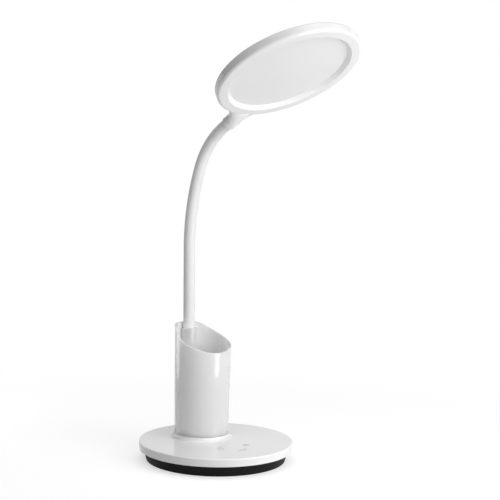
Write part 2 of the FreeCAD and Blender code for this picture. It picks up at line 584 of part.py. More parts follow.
def base_tray():
    body = new_body("base_tray")
    item = new_sketch(body, "XZ_Plane")
    outline(item, [
        ("0", "tray_lift"), ("tray_foot_radius", "tray_lift"), ("tray_top_radius", "lip_low"),
        ("lip_radius", "lip_low"), ("lip_radius", "lip_high"),
        ("tray_top_radius - tray_wall", "lip_high"),
        ("tray_foot_radius - tray_wall", "tray_floor_top"), ("0", "tray_floor_top"),
    ])
    turned(body, item)
    # bosses for the base screws, seats for the weight plate, pegs for the inlet board
    item = new_sketch(body, "XY_Plane", ("0", "0", "tray_floor_top"))
    for corner in range(CORNERS):
        circle(item, "post_ring * cos(%d * 90 + 45)" % corner,
               "post_ring * sin(%d * 90 + 45)" % corner, "tray_boss_radius")
    padded(body, item, "tray_boss_height")
    item = new_sketch(body, "XY_Plane", ("0", "0", "tray_floor_top"))
    for x, y in plate_screw_spots():
        circle(item, x, y, "plate_boss_radius")
    padded(body, item, "plate_seat")
    item = new_sketch(body, "XY_Plane", ("0", "0", "tray_floor_top"))
    for x in ("-inlet_peg_x", "inlet_peg_x"):
        circle(item, x, "(inlet_board_start + inlet_board_end) / 2", "inlet_peg_radius")
    padded(body, item, "inlet_board_height - tray_floor_top")
    item = new_sketch(body, "XY_Plane", ("0", "0", "inlet_board_height"))
    for x in ("-inlet_peg_x", "inlet_peg_x"):
        circle(item, x, "(inlet_board_start + inlet_board_end) / 2", "peg_pin_radius")
    padded(body, item, "peg_pin_length")
    # recesses and holes from below
    item = new_sketch(body, "XY_Plane", ("0", "0", "tray_lift"))
    for corner in range(CORNERS):
        circle(item, "post_ring * cos(%d * 90 + 45)" % corner,
               "post_ring * sin(%d * 90 + 45)" % corner, "small_head_radius + screw_hole_gap")
    pocket(body, item, "head_recess_depth", reverse=True)
    item = new_sketch(body, "XY_Plane", ("0", "0", "tray_lift"))
    for corner in range(CORNERS):
        circle(item, "post_ring * cos(%d * 90 + 45)" % corner,
               "post_ring * sin(%d * 90 + 45)" % corner, "small_shank_radius + screw_hole_gap")
    pocket(body, item, "tray_floor + tray_boss_height + overrun", reverse=True)
    item = new_sketch(body, "XY_Plane", ("0", "0", "tray_lift"))
    circle(item, "0", "0", "foot_radius")
    for quarter in range(CORNERS):
        circle(item, "foot_ring * cos(%d * 90)" % quarter,
               "foot_ring * sin(%d * 90)" % quarter, "foot_radius")
    pocket(body, item, "foot_recess", reverse=True)
    item = new_sketch(body, "XY_Plane", ("0", "0", "plate_low"))
    for x, y in plate_screw_spots():
        circle(item, x, y, "plate_shank_radius")
    pocket(body, item, "plate_seat + tray_floor / 2")
    # the opening for the power inlet in the rear wall
    item = new_sketch(body, "XZ_Plane", ("0", "0", "-inlet_notch_start"))
    rectangle(item, "-inlet_width / 2 - inlet_gap", "inlet_board_top - inlet_gap",
              "inlet_width / 2 + inlet_gap", "inlet_board_top + inlet_height + inlet_gap")
    pocket(body, item, "base_radius - inlet_notch_start")
    return body


def plate_screw_spots():
    return [(x + "plate_screw_x", y + "plate_screw_y") for x in ("-", "") for y in ("-", "")]


def weight_plate():
    body = new_body("weight_plate")
    item = new_sketch(body, "XY_Plane", ("0", "0", "plate_low"))
    circle(item, "0", "0", "plate_radius")
    padded(body, item, "plate_thickness")
    item = new_sketch(body, "XY_Plane", ("0", "0", "plate_high"))
    for corner in range(CORNERS):
        circle(item, "post_ring * cos(%d * 90 + 45)" % corner,
               "post_ring * sin(%d * 90 + 45)" % corner, "plate_hole_radius")
    for x, y in plate_screw_spots():
        circle(item, x, y, "plate_shank_radius + screw_hole_gap")
    pocket(body, item, "plate_thickness + overrun")
    item = new_sketch(body, "XY_Plane", ("0", "0", "plate_high"))
    rectangle(item, "-inlet_half_width", "inlet_notch_start", "inlet_half_width", "base_radius")
    pocket(body, item, "plate_thickness + overrun")
    return body


def screw_at(body, x, y, top, head_radius, head_height, shank_radius, shank_length):
    """A screw with its head above `top` and its shank below."""
    item = new_sketch(body, "XY_Plane", ("0", "0", top))
    circle(item, x, y, head_radius)
    padded(body, item, head_height)
    item = new_sketch(body, "XY_Plane", ("0", "0", top))
    circle(item, x, y, shank_radius)
    padded(body, item, shank_length, reverse=True)


def weight_screws():
    body = new_body("weight_screws")
    for x, y in plate_screw_spots():
        screw_at(body, x, y, "plate_high", "plate_head_radius", "plate_head_height",
                 "plate_shank_radius", "plate_thickness + plate_seat + tray_floor / 2")
    return body


def screw_under(body, x, y, seat, head_radius, head_height, shank_radius, shank_length):
    """A screw with its head below `seat` and its shank above."""
    item = new_sketch(body, "XY_Plane", ("0", "0", seat))
    circle(item, x, y, head_radius)
    head = padded(body, item, head_height, reverse=True)
    item = new_sketch(body, "XY_Plane", ("0", "0", seat))
    circle(item, x, y, shank_radius)
    shank = padded(body, item, shank_length)
    return head, shank


def base_screws():
    body = new_body("base_screws")
    pieces = screw_under(body, "post_ring * cos(45)", "post_ring * sin(45)", "recess_top",
                         "small_head_radius", "small_head_height",
                         "small_shank_radius", "small_screw_reach")
    repeated(body, list(pieces), CORNERS)
    return body


def cup_screws():
    body = new_body("cup_screws")
    for x, y in cup_screw_spots():
        screw_under(body, x, "cup_setback + " + y, "cover_inner_top", "small_head_radius",
                    "small_head_height", "small_shank_radius", "cover_wall + cup_floor_rise - cup_floor")
    return body


def rubber_feet():
    """Four feet in a ring and a fifth in the middle."""
    body = new_body("rubber_feet")
    item = new_sketch(body, "XY_Plane")
    circle(item, "foot_ring", "0", "foot_radius")
    foot = padded(body, item, "tray_lift + foot_recess")
    repeated(body, [foot], CORNERS)
    item = new_sketch(body, "XY_Plane")
    circle(item, "0", "0", "foot_radius")
    padded(body, item, "tray_lift + foot_recess")
    return body


def power_inlet():
    body = new_body("power_inlet")
    item = new_sketch(body, "XZ_Plane", ("0", "0", "-inlet_mouth"))
    rectangle(item, "-inlet_width / 2", "inlet_board_top", "inlet_width / 2",
              "inlet_board_top + inlet_height")
    padded(body, item, "inlet_length")
    doc.recompute()
    rounded(body, lambda edge: abs(edge.Length - size("inlet_length")) < TOLERANCE,
            "inlet_height * inlet_round_share")
    item = new_sketch(body, "XZ_Plane", ("0", "0", "-inlet_mouth"))
    rectangle(item, "-tongue_half_width - inlet_shell * 2", "inlet_board_top + inlet_shell",
              "tongue_half_width + inlet_shell * 2", "inlet_board_top + inlet_height - inlet_shell")
    pocket(body, item, "inlet_length - inlet_shell * 2", reverse=True)
    item = new_sketch(body, "XZ_Plane", ("0", "0", "inlet_length - inlet_mouth"))
    rectangle(item, "-tongue_half_width", "inlet_middle - tongue_thickness / 2",
              "tongue_half_width", "inlet_middle + tongue_thickness / 2")
    padded(body, item, "tongue_length + inlet_shell", reverse=True)
    return body


def inlet_board():
    body = new_body("inlet_board")
    item = new_sketch(body, "XY_Plane", ("0", "0", "inlet_board_height"))
    rectangle(item, "-inlet_board_half_width", "inlet_board_start", "inlet_board_half_width",
              "inlet_board_end")
    for x in ("-inlet_peg_x", "inlet_peg_x"):
        circle(item, x, "(inlet_board_start + inlet_board_end) / 2", "peg_pin_radius + pin_gap")
    padded(body, item, "board_thickness")
    item = new_sketch(body, "XY_Plane", ("0", "0", "inlet_board_top"))
    rectangle(item, "wire_x - wire_pitch", "inlet_board_start + wire_pitch / 2",
              "inlet_board_half_width", "inlet_board_start + plug_length")
    padded(body, item, "plug_height")
    return body


def control_board():
    body = new_body("control_board")
    item = new_sketch(body, "XY_Plane", ("0", "0", "board_low"))
    rectangle(item, "-board_left", "-board_front", "board_right", "-board_rear")
    for x, y in board_pegs():
        circle(item, x, y, "peg_pin_radius + pin_gap")
    padded(body, item, "board_thickness")
    item = new_sketch(body, "XY_Plane", ("0", "0", "board_low"))
    for x in ("0", "wire_x + wire_pitch / 2"):
        rectangle(item, x + " - plug_half_width", "-board_rear - plug_length",
                  x + " + plug_half_width", "-board_rear")
    padded(body, item, "plug_height", reverse=True)
    item = new_sketch(body, "XY_Plane", ("0", "0", "board_low"))
    rectangle(item, "-chip_half", "-board_front / 2 - board_rear / 2 - chip_half",
              "chip_half", "-board_front / 2 - board_rear / 2 + chip_half")
    padded(body, item, "chip_height", reverse=True)
    return body


def touch_electrodes():
    body = new_body("touch_electrodes")
    item = new_sketch(body, "XY_Plane", ("0", "0", "board_high"))
    for x, front in (("power_x", "power_front"), ("mark_a_x", "mark_a_front"),
                     ("mark_b_x", "mark_b_front")):
        circle(item, x, "-" + front, "electrode_radius")
    padded(body, item, "board_drop")
    rounded(body, lambda edge: hasattr(edge.Curve, "Radius")
            and edge.Curve.Center.z > size("board_high + board_drop / 2"), "electrode_round")
    return body


def base_wires():
    body = new_body("base_wires")
    item = new_sketch(body, "XZ_Plane", ("0", "0", "board_rear"))
    circle(item, "wire_x", "wire_height", "wire_radius")
    circle(item, "wire_x + wire_pitch", "wire_height", "wire_radius")
    padded(body, item, "board_rear + inlet_board_start + wire_pitch / 2", reverse=True)
    # the wire that turns up into the neck's stem
    spine = new_sketch(body, "YZ_Plane")
    start = Vector(size("-board_rear"), size("wire_height"), 0)
    turn = Vector(size("neck_foot_setback - wire_bend"), size("wire_height"), 0)
    middle = Vector(size("neck_foot_setback - wire_bend"), size("wire_height + wire_bend"), 0)
    up = Vector(size("neck_foot_setback"), size("wire_height + wire_bend"), 0)
    top = Vector(size("neck_foot_setback"), size("wire_height + wire_bend + wire_rise"), 0)
    bend = Part.ArcOfCircle(Part.Circle(middle, Vector(0, 0, 1), size("wire_bend")),
                            -math.pi / 2, 0)
    shapes = spine.addGeometry([Part.LineSegment(start, turn), bend, Part.LineSegment(up, top)],
                               False)
    spine.addConstraint(Sketcher.Constraint("Tangent", shapes[0], 2, shapes[1], 1))
    spine.addConstraint(Sketcher.Constraint("Tangent", shapes[1], 2, shapes[2], 1))
    fix_point(spine, shapes[0], 1, "-board_rear", "wire_height")
    fix_point(spine, shapes[1], 3, "neck_foot_setback - wire_bend", "wire_height + wire_bend")
    fix_point(spine, shapes[2], 2, "neck_foot_setback", "wire_height + wire_bend + wire_rise")
    item = new_sketch(body, "XZ_Plane", ("0", "0", "board_rear"))
    circle(item, "0", "wire_height", "wire_radius")
    feature = body.newObject("PartDesign::AdditivePipe", "base_wires_bent")
    feature.Profile = item
    feature.Spine = (spine, ["Edge1", "Edge2", "Edge3"])
    return body


def neck_place(y, z, angle):
    """The frame of a piece of neck: Z along the neck, X across it."""
    return Placement(Vector(0, y, z), Rotation(Vector(1, 0, 0), angle))


def mouth_place():
    return neck_place(size("neck_setback"), size("neck_mouth_height"), -size("neck_lean"))


def after_straight(place, length):
    return place * Placement(Vector(0, 0, length), Rotation())


def after_bend(place, radius, angle):
    turn = math.radians(angle)
    step = Vector(0, radius * math.cos(turn) - radius, radius * math.sin(turn))
    return place * Placement(step, Rotation(Vector(1, 0, 0), angle))


def joint_places():
    """The frames of the neck's seven joints, from the lowest to the one at the head."""
    place = after_straight(mouth_place(), size("root_length"))
    places = [place]
    for link in range(2):
        place = after_straight(place, size("link_length"))
        places.append(place)
    for link in range(3):
        place = after_bend(place, size("bow_radius"), size("bow_angle"))
        places.append(place)
    places.append(after_bend(place, size("hook_radius"), size("hook_angle")))
    return places


def head_place():
    """The frame of the head: origin in the middle of its face, Z to its back, Y to the neck."""
    place = after_bend(joint_places()[-1], size("hook_radius"), size("last_angle"))
    mouth = after_straight(place, size("neck_end_straight")).Base
    turn = Rotation(Vector(1, 0, 0), -size("head_tilt"))
    return Placement(mouth - turn.multVec(Vector(0, size("mouth_reach"), size("seam_depth"))), turn)


def cup_form():
    body = new_body("cup_form")
    item = new_sketch(body, "XZ_Plane")
    floor_top = "cup_floor_rise + cup_floor"
    outline(item, [
        ("cup_inner_foot", "0"), ("cup_foot_radius", "0"), ("cup_top_radius", "cup_top"),
        ("cup_top_radius - cup_wall", "cup_top"),
        ("cup_inner_foot + (" + floor_top + ") * tan(cup_draft)", floor_top), ("0", floor_top),
        ("0", "cup_floor_rise"), ("cup_inner_foot", "cup_floor_rise"),
    ])
    turned(body, item)
    item = new_sketch(body, "XY_Plane")
    for x, y in cup_screw_spots():
        circle(item, x, y, "cup_boss_radius")
        circle(item, x, y, "small_shank_radius")
    padded(body, item, "cup_floor_rise")
    # the boss for the neck, cut back to the cup's outside, with its two bores
    neck_y = "neck_foot_setback - cup_setback"
    item = new_sketch(body, "XY_Plane", ("0", neck_y, "neck_boss_lift"), "-neck_lean")
    circle(item, "0", "0", "neck_boss_radius")
    padded(body, item, "boss_length - neck_boss_lift")
    item = new_sketch(body, "XZ_Plane")
    outline(item, [
        ("cup_foot_radius - overrun * tan(cup_draft)", "-overrun"),
        ("cup_top_radius", "cup_top"), ("cup_top_radius + neck_boss_radius", "cup_top"),
        ("cup_top_radius + neck_boss_radius", "-overrun"),
    ])
    turned(body, item, "Groove")
    item = new_sketch(body, "XY_Plane", ("0", neck_y, "0"), "-neck_lean")
    circle(item, "0", "0", "stem_radius + stem_gap")
    through(body, item)
    for length, upwards in (("seat_depth", False), ("rim_high - mouth_rise + overrun", True)):
        item = new_sketch(body, "XY_Plane", ("0", "neck_setback - cup_setback", "mouth_rise"),
                          "-neck_lean")
        circle(item, "0", "0", "sleeve_radius + seat_gap")
        pocket(body, item, length, reverse=upwards)
    return body


def rim_curve(radius):
    """The rim's line at this distance from the cup's axis."""
    low = size("rim_low")
    step = size("rim_high") - low
    spots = []
    for angle, share in RIM_SHARES:
        turn = math.radians(angle)
        spots.append(Vector(radius * math.sin(turn), -radius * math.cos(turn), low + share * step))
    curve = Part.BSplineCurve()
    curve.interpolate(spots, True)
    return curve.toShape()


def pen_cup():
    """The cup with its slanted rim."""
    form = cup_form()
    inner = rim_curve(size("cup_inner_foot / 2"))
    outer = rim_curve(size("cup_top_radius + neck_boss_radius"))
    above = Part.makeRuledSurface(inner, outer).extrude(Vector(0, 0, size("cup_top")))
    cutter = doc.addObject("Part::Feature", "rim_cutter")
    cutter.Shape = above
    cut = joined("Cut", "cup_with_sharp_rim", form, cutter)
    doc.recompute()
    cup = doc.addObject("Part::Fillet", "pen_cup")
    cup.Base = cut
    rim = []
    reach = size("rim_round")
    for number, edge in enumerate(cut.Shape.Edges):
        sides = [face.Surface for face in cut.Shape.ancestorsOfType(edge, Part.Face)]
        if len(sides) == 2 and any(isinstance(side, Part.BSplineSurface) for side in sides):
            rim.append((number + 1, reach, reach))
    cup.Edges = rim
    cup.Placement = Placement(Vector(0, size("cup_setback"), size("base_height")), Rotation())
    return cup


def neck_sleeve(number, place, low="0", straight=None, bend=None, angle=None, end=None,
                has_ball=True, has_socket=True):
    """A length of sleeve: straight, bent, or bent with a straight end."""
    body = new_body("neck_sleeve_%d" % number, place)
    top = ("0", "0", "0")
    if straight:
        item = new_sketch(body, "XY_Plane", ("0", "0", low))
        circle(item, "0", "0", "sleeve_radius")
        padded(body, item, straight)
        top = ("0", "0", low + " + " + straight)
    else:
        item = new_sketch(body, "XY_Plane")
        circle(item, "0", "0", "sleeve_radius")
        bend_axis(item, bend)
        turned(body, item, axis="Axis0", angle=angle)
        top = ("0", bend + " * (cos(" + angle + ") - 1)", bend + " * sin(" + angle + ")")
    if end:
        item = new_sketch(body, "XY_Plane", top, angle)
        circle(item, "0", "0", "sleeve_radius")
        padded(body, item, end)
    if has_ball:
        ball(body, "AdditiveSphere", "sleeve_radius")
    if has_socket:
        ball(body, "SubtractiveSphere", "socket_radius", top)
    neck_bore(body, low, straight, bend, angle, end, top, "sleeve_bore")
    return body


def neck_bore(body, low, straight, bend, angle, end, top, radius):
    """The bore through a length of sleeve or core, and on through its lower end."""
    if straight:
        item = new_sketch(body, "XY_Plane", ("0", "0", low))
        circle(item, "0", "0", radius)
        through(body, item)
        return
    item = new_sketch(body, "XY_Plane")
    circle(item, "0", "0", radius)
    bend_axis(item, bend)
    turned(body, item, "Groove", "Axis0", angle)
    item = new_sketch(body, "XY_Plane")
    circle(item, "0", "0", radius)
    pocket(body, item, "sleeve_radius + overrun")
    if end:
        item = new_sketch(body, "XY_Plane", top, angle)
        circle(item, "0", "0", radius)
        pocket(body, item, end + " + overrun", reverse=True)


def neck_core(number, place, low="-core_tail", straight=None, bend=None, angle=None, end=None):
    """A length of core inside its sleeve."""
    body = new_body("neck_core_%d" % number, place)
    top = ("0", "0", "0")
    if straight:
        item = new_sketch(body, "XY_Plane", ("0", "0", low))
        circle(item, "0", "0", "core_radius")
        padded(body, item, straight)
    else:
        item = new_sketch(body, "XY_Plane")
        circle(item, "0", "0", "core_radius")
        bend_axis(item, bend)
        turned(body, item, axis="Axis0", angle=angle)
        top = ("0", bend + " * (cos(" + angle + ") - 1)", bend + " * sin(" + angle + ")")
        item = new_sketch(body, "XY_Plane")
        circle(item, "0", "0", "core_radius")
        padded(body, item, "core_tail", reverse=True)
    if end:
        item = new_sketch(body, "XY_Plane", top, angle)
        circle(item, "0", "0", "core_radius")
        padded(body, item, end)
    neck_bore(body, low, straight, bend, angle, end, top, "core_bore")
    return body


def neck_lengths():
    """Every length of sleeve and core, from the cup to the head."""
    places = joint_places()
    pieces = [
        neck_sleeve(1, mouth_place(), "-seat_depth", "root_length + seat_depth", has_ball=False),
        neck_core(1, mouth_place(), "-seat_depth", "root_length + seat_depth - core_stop"),
    ]
    for number, place in zip((2, 3), places[0:2]):
        pieces.append(neck_sleeve(number, place, straight="link_length"))
        pieces.append(neck_core(number, place, straight="link_length + core_tail - core_stop"))
    short = "(link_length - core_stop) / %s * 180 / pi"
    for number, place in zip((4, 5, 6), places[2:5]):
        pieces.append(neck_sleeve(number, place, bend="bow_radius", angle="bow_angle"))
        pieces.append(neck_core(number, place, bend="bow_radius", angle=short % "bow_radius"))
    pieces.append(neck_sleeve(7, places[5], bend="hook_radius", angle="hook_angle"))
    pieces.append(neck_core(7, places[5], bend="hook_radius", angle=short % "hook_radius"))
    straight_end = "neck_end_straight + neck_insert"
    pieces.append(neck_sleeve(8, places[6], bend="hook_radius", angle="last_angle",
                              end=straight_end, has_socket=False))
    pieces.append(neck_core(8, places[6], bend="hook_radius", angle="last_angle",
                            end=straight_end + " + sleeve_end - core_end"))
    return pieces


def neck_stem():
    body = new_body("neck_stem", mouth_place())
    item = new_sketch(body, "XY_Plane", ("0", "0", "-seat_depth"))
    circle(item, "0", "0", "stem_radius")
    circle(item, "0", "0", "stem_bore")
    padded(body, item, "stem_length", reverse=True)
    return body


def washer_place():
    height = size("cover_inner_top - lean_allowance")
    y = size("neck_foot_setback") - (size("base_height") - height) * math.tan(
        math.radians(size("neck_lean")))
    return neck_place(y, height, -size("neck_lean"))


def stem_washer():
    body = new_body("stem_washer", washer_place())
    item = new_sketch(body, "XY_Plane")
    circle(item, "0", "0", "washer_radius")
    circle(item, "0", "0", "stem_radius + thread_gap")
    padded(body, item, "washer_thickness", reverse=True)
    return body


def stem_nut():
    body = new_body("stem_nut", washer_place())
    item = new_sketch(body, "XY_Plane", ("0", "0", "-washer_thickness"))
    outline(item, [("nut_radius * cos(%d * 60 + 30)" % corner,
                    "nut_radius * sin(%d * 60 + 30)" % corner) for corner in range(6)])
    circle(item, "0", "0", "stem_radius + thread_gap")
    padded(body, item, "nut_height", reverse=True)
    return body


def socket_section(shares, to_back):
    """One section of the half of the flare behind or before the seam."""
    place_share, width_share, height_share, depth_share = shares
    root = size("tongue_root")
    y = root + place_share * (size("ring_low") - root)
    wide = size("tongue_root_half_width") * (1 - width_share) \
        + size("socket_half_width") * width_share
    high = size("head_thickness / 2 - tongue_inset") * (1 - height_share) \
        + size("socket_half_height") * height_share
    depth = size("head_thickness / 2") * (1 - depth_share) + size("seam_depth") * depth_share
    start = math.asin((size("seam_depth") - depth) / high)
    sweep = math.pi - 2 * start
    if not to_back:
        start, sweep = math.pi - start, math.pi + 2 * start
    spots = []
    for step in range(SECTION_STEPS + 1):
        turn = start + sweep * step / SECTION_STEPS
        spots.append(Vector(wide * math.cos(turn), y, depth + high * math.sin(turn)))
    curve = Part.BSplineCurve()
    curve.interpolate(spots)
    closing = Part.makeLine(curve.EndPoint, curve.StartPoint)
    return Part.Wire([curve.toShape(), closing])


def socket_half(label, to_back):
    """Half of the flat flare that joins the head's disc to the socket ring."""
    half = doc.addObject("Part::Feature", label)
    half.Shape = Part.makeLoft([socket_section(shares, to_back) for shares in SOCKET_SHARES], True)
    return half


def part_object(kind, label, sizes, x="0", y="0", z="0", along_y=False):
    """A box or cylinder whose sizes and place follow expressions."""
    item = doc.addObject("Part::" + kind, label)
    turn = Rotation(Vector(1, 0, 0), -90) if along_y else Rotation()
    item.Placement = Placement(Vector(size(x), size(y), size(z)), turn)
    for name, text in sizes.items():
        item.setExpression(name, bound(text))
    for letter, text in zip("xyz", (x, y, z)):
        if text != "0":
            item.setExpression(".Placement.Base." + letter, bound(text))
    return item


def joined(kind, label, first, second):
    item = doc.addObject("Part::" + kind, label)
    item.Base = first
    item.Tool = second
    return item


def merged(label, items):
    item = doc.addObject("Part::MultiFuse", label)
    item.Shapes = items
    return item


def head_shells():
    """The bezel and the back cover, each with its half of the socket."""
    bezel = new_body("bezel_form")
    item = new_sketch(bezel, "XZ_Plane")
    snap_outer = "inner_radius - snap_gap"
    snap_inner = "inner_radius - snap_gap - snap_wall"
    outline(item, [
        ("bezel_inner", "0"), ("head_radius", "0"), ("head_radius", "seam_depth"),
        (snap_outer, "seam_depth"), (snap_outer, "seam_depth + snap_height"),
        (snap_inner, "seam_depth + snap_height"), (snap_inner, "bezel_wall"),
        ("holder_inner + holder_wall", "bezel_wall"),
        ("holder_inner + holder_wall", "diffuser_high"), ("holder_inner", "diffuser_high"),
        ("holder_inner", "diffuser_low"), ("window_radius", "diffuser_low"),
        ("window_radius", "window_depth"),
    ])
    turned(bezel, item)
    rounded(bezel, ring_edge("head_radius", "0"), "front_round")
    back = new_body("back_form")
    item = new_sketch(back, "XZ_Plane")
    outline(item, [
        ("0", "head_thickness"), ("head_radius", "head_thickness"),
        ("head_radius", "seam_depth"), ("inner_radius", "seam_depth"),
        ("inner_radius", "back_inner"), ("holder_inner + holder_wall", "back_inner"),
        ("holder_inner + holder_wall", "diffuser_high"), ("holder_inner", "diffuser_high"),
        ("holder_inner", "back_inner"), ("0", "back_inner"),
    ])
    turned(back, item)
    rounded(back, ring_edge("head_radius", "head_thickness"), "back_round")
    item = new_sketch(back, "XY_Plane", ("0", "0", "tang_low"))
    for x in ("-clamp_screw_x", "clamp_screw_x"):
        circle(item, x, "clamp_y", "clamp_post_radius")
        circle(item, x, "clamp_y", "clamp_shank_radius")
    padded(back, item, "back_inner - tang_low")
    hollow = part_object("Cylinder", "head_hollow", {
        "Radius": "inner_radius", "Height": "head_thickness + overrun * 2"}, z="-overrun")
    front_half = joined("Cut", "socket_front", socket_half("front_flare", False), hollow)
    back_half = joined("Cut", "socket_back", socket_half("back_flare", True), hollow)
    bores = merged("head_bores", [
        part_object("Cylinder", "sleeve_seat", {
            "Radius": "sleeve_radius + seat_gap", "Height": "neck_insert + overrun"},
            "0", "sleeve_end", "seam_depth", along_y=True),
        part_object("Cylinder", "fitting_seat", {
            "Radius": "fitting_radius + fitting_gap",
            "Height": "fitting_length + fitting_gap * 2"},
            "0", "fitting_low - fitting_gap", "seam_depth", along_y=True),
        part_object("Box", "tang_seat", {
            "Length": "(tang_half_width + fitting_gap) * 2",
            "Width": "fitting_low - slot_end", "Height": "slot_top - seam_depth"},
            "-tang_half_width - fitting_gap", "slot_end", "seam_depth"),
    ])
    shells = [joined("Cut", "head_bezel", merged("bezel_whole", [bezel, front_half]), bores),
              joined("Cut", "head_back_cover", merged("back_whole", [back, back_half]), bores)]
    for shell in shells:
        shell.Placement = head_place()
    return shells


def disc(label, radius, low, thickness):
    body = new_body(label, head_place())
    item = new_sketch(body, "XY_Plane", ("0", "0", low))
    circle(item, "0", "0", radius)
    padded(body, item, thickness)
    return body


def led_strip():
    body = new_body("led_strip", head_place())
    item = new_sketch(body, "XY_Plane", ("0", "0", "diffuser_high"))
    circle(item, "0", "0", "strip_outer")
    circle(item, "0", "0", "strip_inner")
    padded(body, item, "guide_thickness")
    return body


def led_chips():
    body = new_body("led_chips", head_place())
    item = new_sketch(body, "XY_Plane",
                      ("0", "0", "diffuser_high + guide_thickness / 2 - led_height / 2"))
    rectangle(item, "guide_radius + led_gap", "-led_half_width", "strip_inner - strip_gap",
              "led_half_width")
    chip = padded(body, item, "led_height")
    repeated(body, [chip], CHIPS)
    return body


def socket_ring():
    body = new_body("socket_ring", head_place())
    item = new_sketch(body, "XZ_Plane", ("0", "0", "-mouth_reach"))
    circle(item, "0", "seam_depth", "ring_radius")
    circle(item, "0", "seam_depth", "sleeve_radius + ring_gap")
    padded(body, item, "ring_length")
    rounded(body, lambda edge: hasattr(edge.Curve, "Radius")
            and abs(edge.Curve.Radius - size("ring_radius")) < TOLERANCE, "ring_round")
    return body


def neck_end_fitting():
    body = new_body("neck_end_fitting", head_place())
    item = new_sketch(body, "XZ_Plane", ("0", "0", "-sleeve_end"))
    circle(item, "0", "seam_depth", "fitting_radius")
    padded(body, item, "fitting_length")
    item = new_sketch(body, "XZ_Plane", ("0", "0", "-fitting_low"))
    rectangle(item, "-tang_half_width", "tang_low", "tang_half_width", "tang_low + tang_thickness")
    padded(body, item, "fitting_low - tang_end")
    item = new_sketch(body, "XZ_Plane", ("0", "0", "-fitting_low"))
    rectangle(item, "-tang_slot", "tang_low - overrun", "tang_slot",
              "tang_low + tang_thickness + overrun")
    pocket(body, item, "fitting_low - tang_end + overrun", reverse=True)
    item = new_sketch(body, "XZ_Plane", ("0", "0", "-sleeve_end"))
    circle(item, "0", "seam_depth", "core_radius")
    pocket(body, item, "sleeve_end - core_end", reverse=True)
    item = new_sketch(body, "XZ_Plane", ("0", "0", "-sleeve_end"))
    circle(item, "0", "seam_depth", "core_bore")
    pocket(body, item, "fitting_length + overrun", reverse=True)
    return body


def neck_clamp():
    body = new_body("neck_clamp", head_place())
    item = new_sketch(body, "XY_Plane", ("0", "0", "clamp_low"))
    rectangle(item, "-clamp_half_width", "clamp_y - clamp_half_length", "clamp_half_width",
              "clamp_y + clamp_half_length")
    for x in ("-clamp_screw_x", "clamp_screw_x"):
        circle(item, x, "clamp_y", "clamp_shank_radius + pin_gap")
    padded(body, item, "clamp_thickness")
    return body


def clamp_screws():
    body = new_body("clamp_screws", head_place())
    for x in ("-clamp_screw_x", "clamp_screw_x"):
        screw_under(body, x, "clamp_y", "clamp_low", "clamp_head_radius", "clamp_head_height",
                    "clamp_shank_radius", "clamp_shank_length")
    return body


def head_wires():
    body = new_body("head_wires", head_place())
    item = new_sketch(body, "XZ_Plane", ("0", "0", "-core_end"))
    circle(item, "head_wire_x", "head_wire_depth", "head_wire_radius")
    circle(item, "-head_wire_x", "head_wire_depth", "head_wire_radius")
    padded(body, item, "core_end - strip_outer - strip_gap")
    return body


pieces = [
    base_cover(), base_tray(), weight_plate(), weight_screws(), base_screws(), cup_screws(),
    rubber_feet(), power_inlet(), inlet_board(), control_board(), touch_electrodes(),
    base_wires(), pen_cup(), neck_stem(), stem_washer(), stem_nut(),
]
pieces += neck_lengths()
pieces += head_shells()
pieces += [
    socket_ring(), disc("diffuser", "diffuser_radius", "diffuser_low", "diffuser_thickness"),
    disc("light_guide", "guide_radius", "diffuser_high", "guide_thickness"),
    disc("reflector_sheet", "guide_radius", "guide_high", "sheet_thickness"),
    led_strip(), led_chips(), neck_end_fitting(), neck_clamp(), clamp_screws(), head_wires(),
]
doc.recompute()

broken = [item.Name for item in doc.Objects if {"Invalid", "Error"} & set(item.State)]
if broken:
    raise RuntimeError("features that failed: " + ", ".join(broken))
for piece in pieces:
    if piece.Shape.isNull() or not piece.Shape.isValid() or not piece.Shape.Solids:
        raise RuntimeError("no valid solid in " + piece.Label)
for piece in pieces:
    piece.Shape.exportStep("parts/" + piece.Label + ".step")
    print(piece.Label, len(piece.Shape.Solids), round(piece.Shape.Volume, 1))
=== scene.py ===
import json
import math

import bmesh
import bpy
from bpy.props import FloatProperty, FloatVectorProperty, IntProperty, PointerProperty
from mathutils import Matrix, Vector

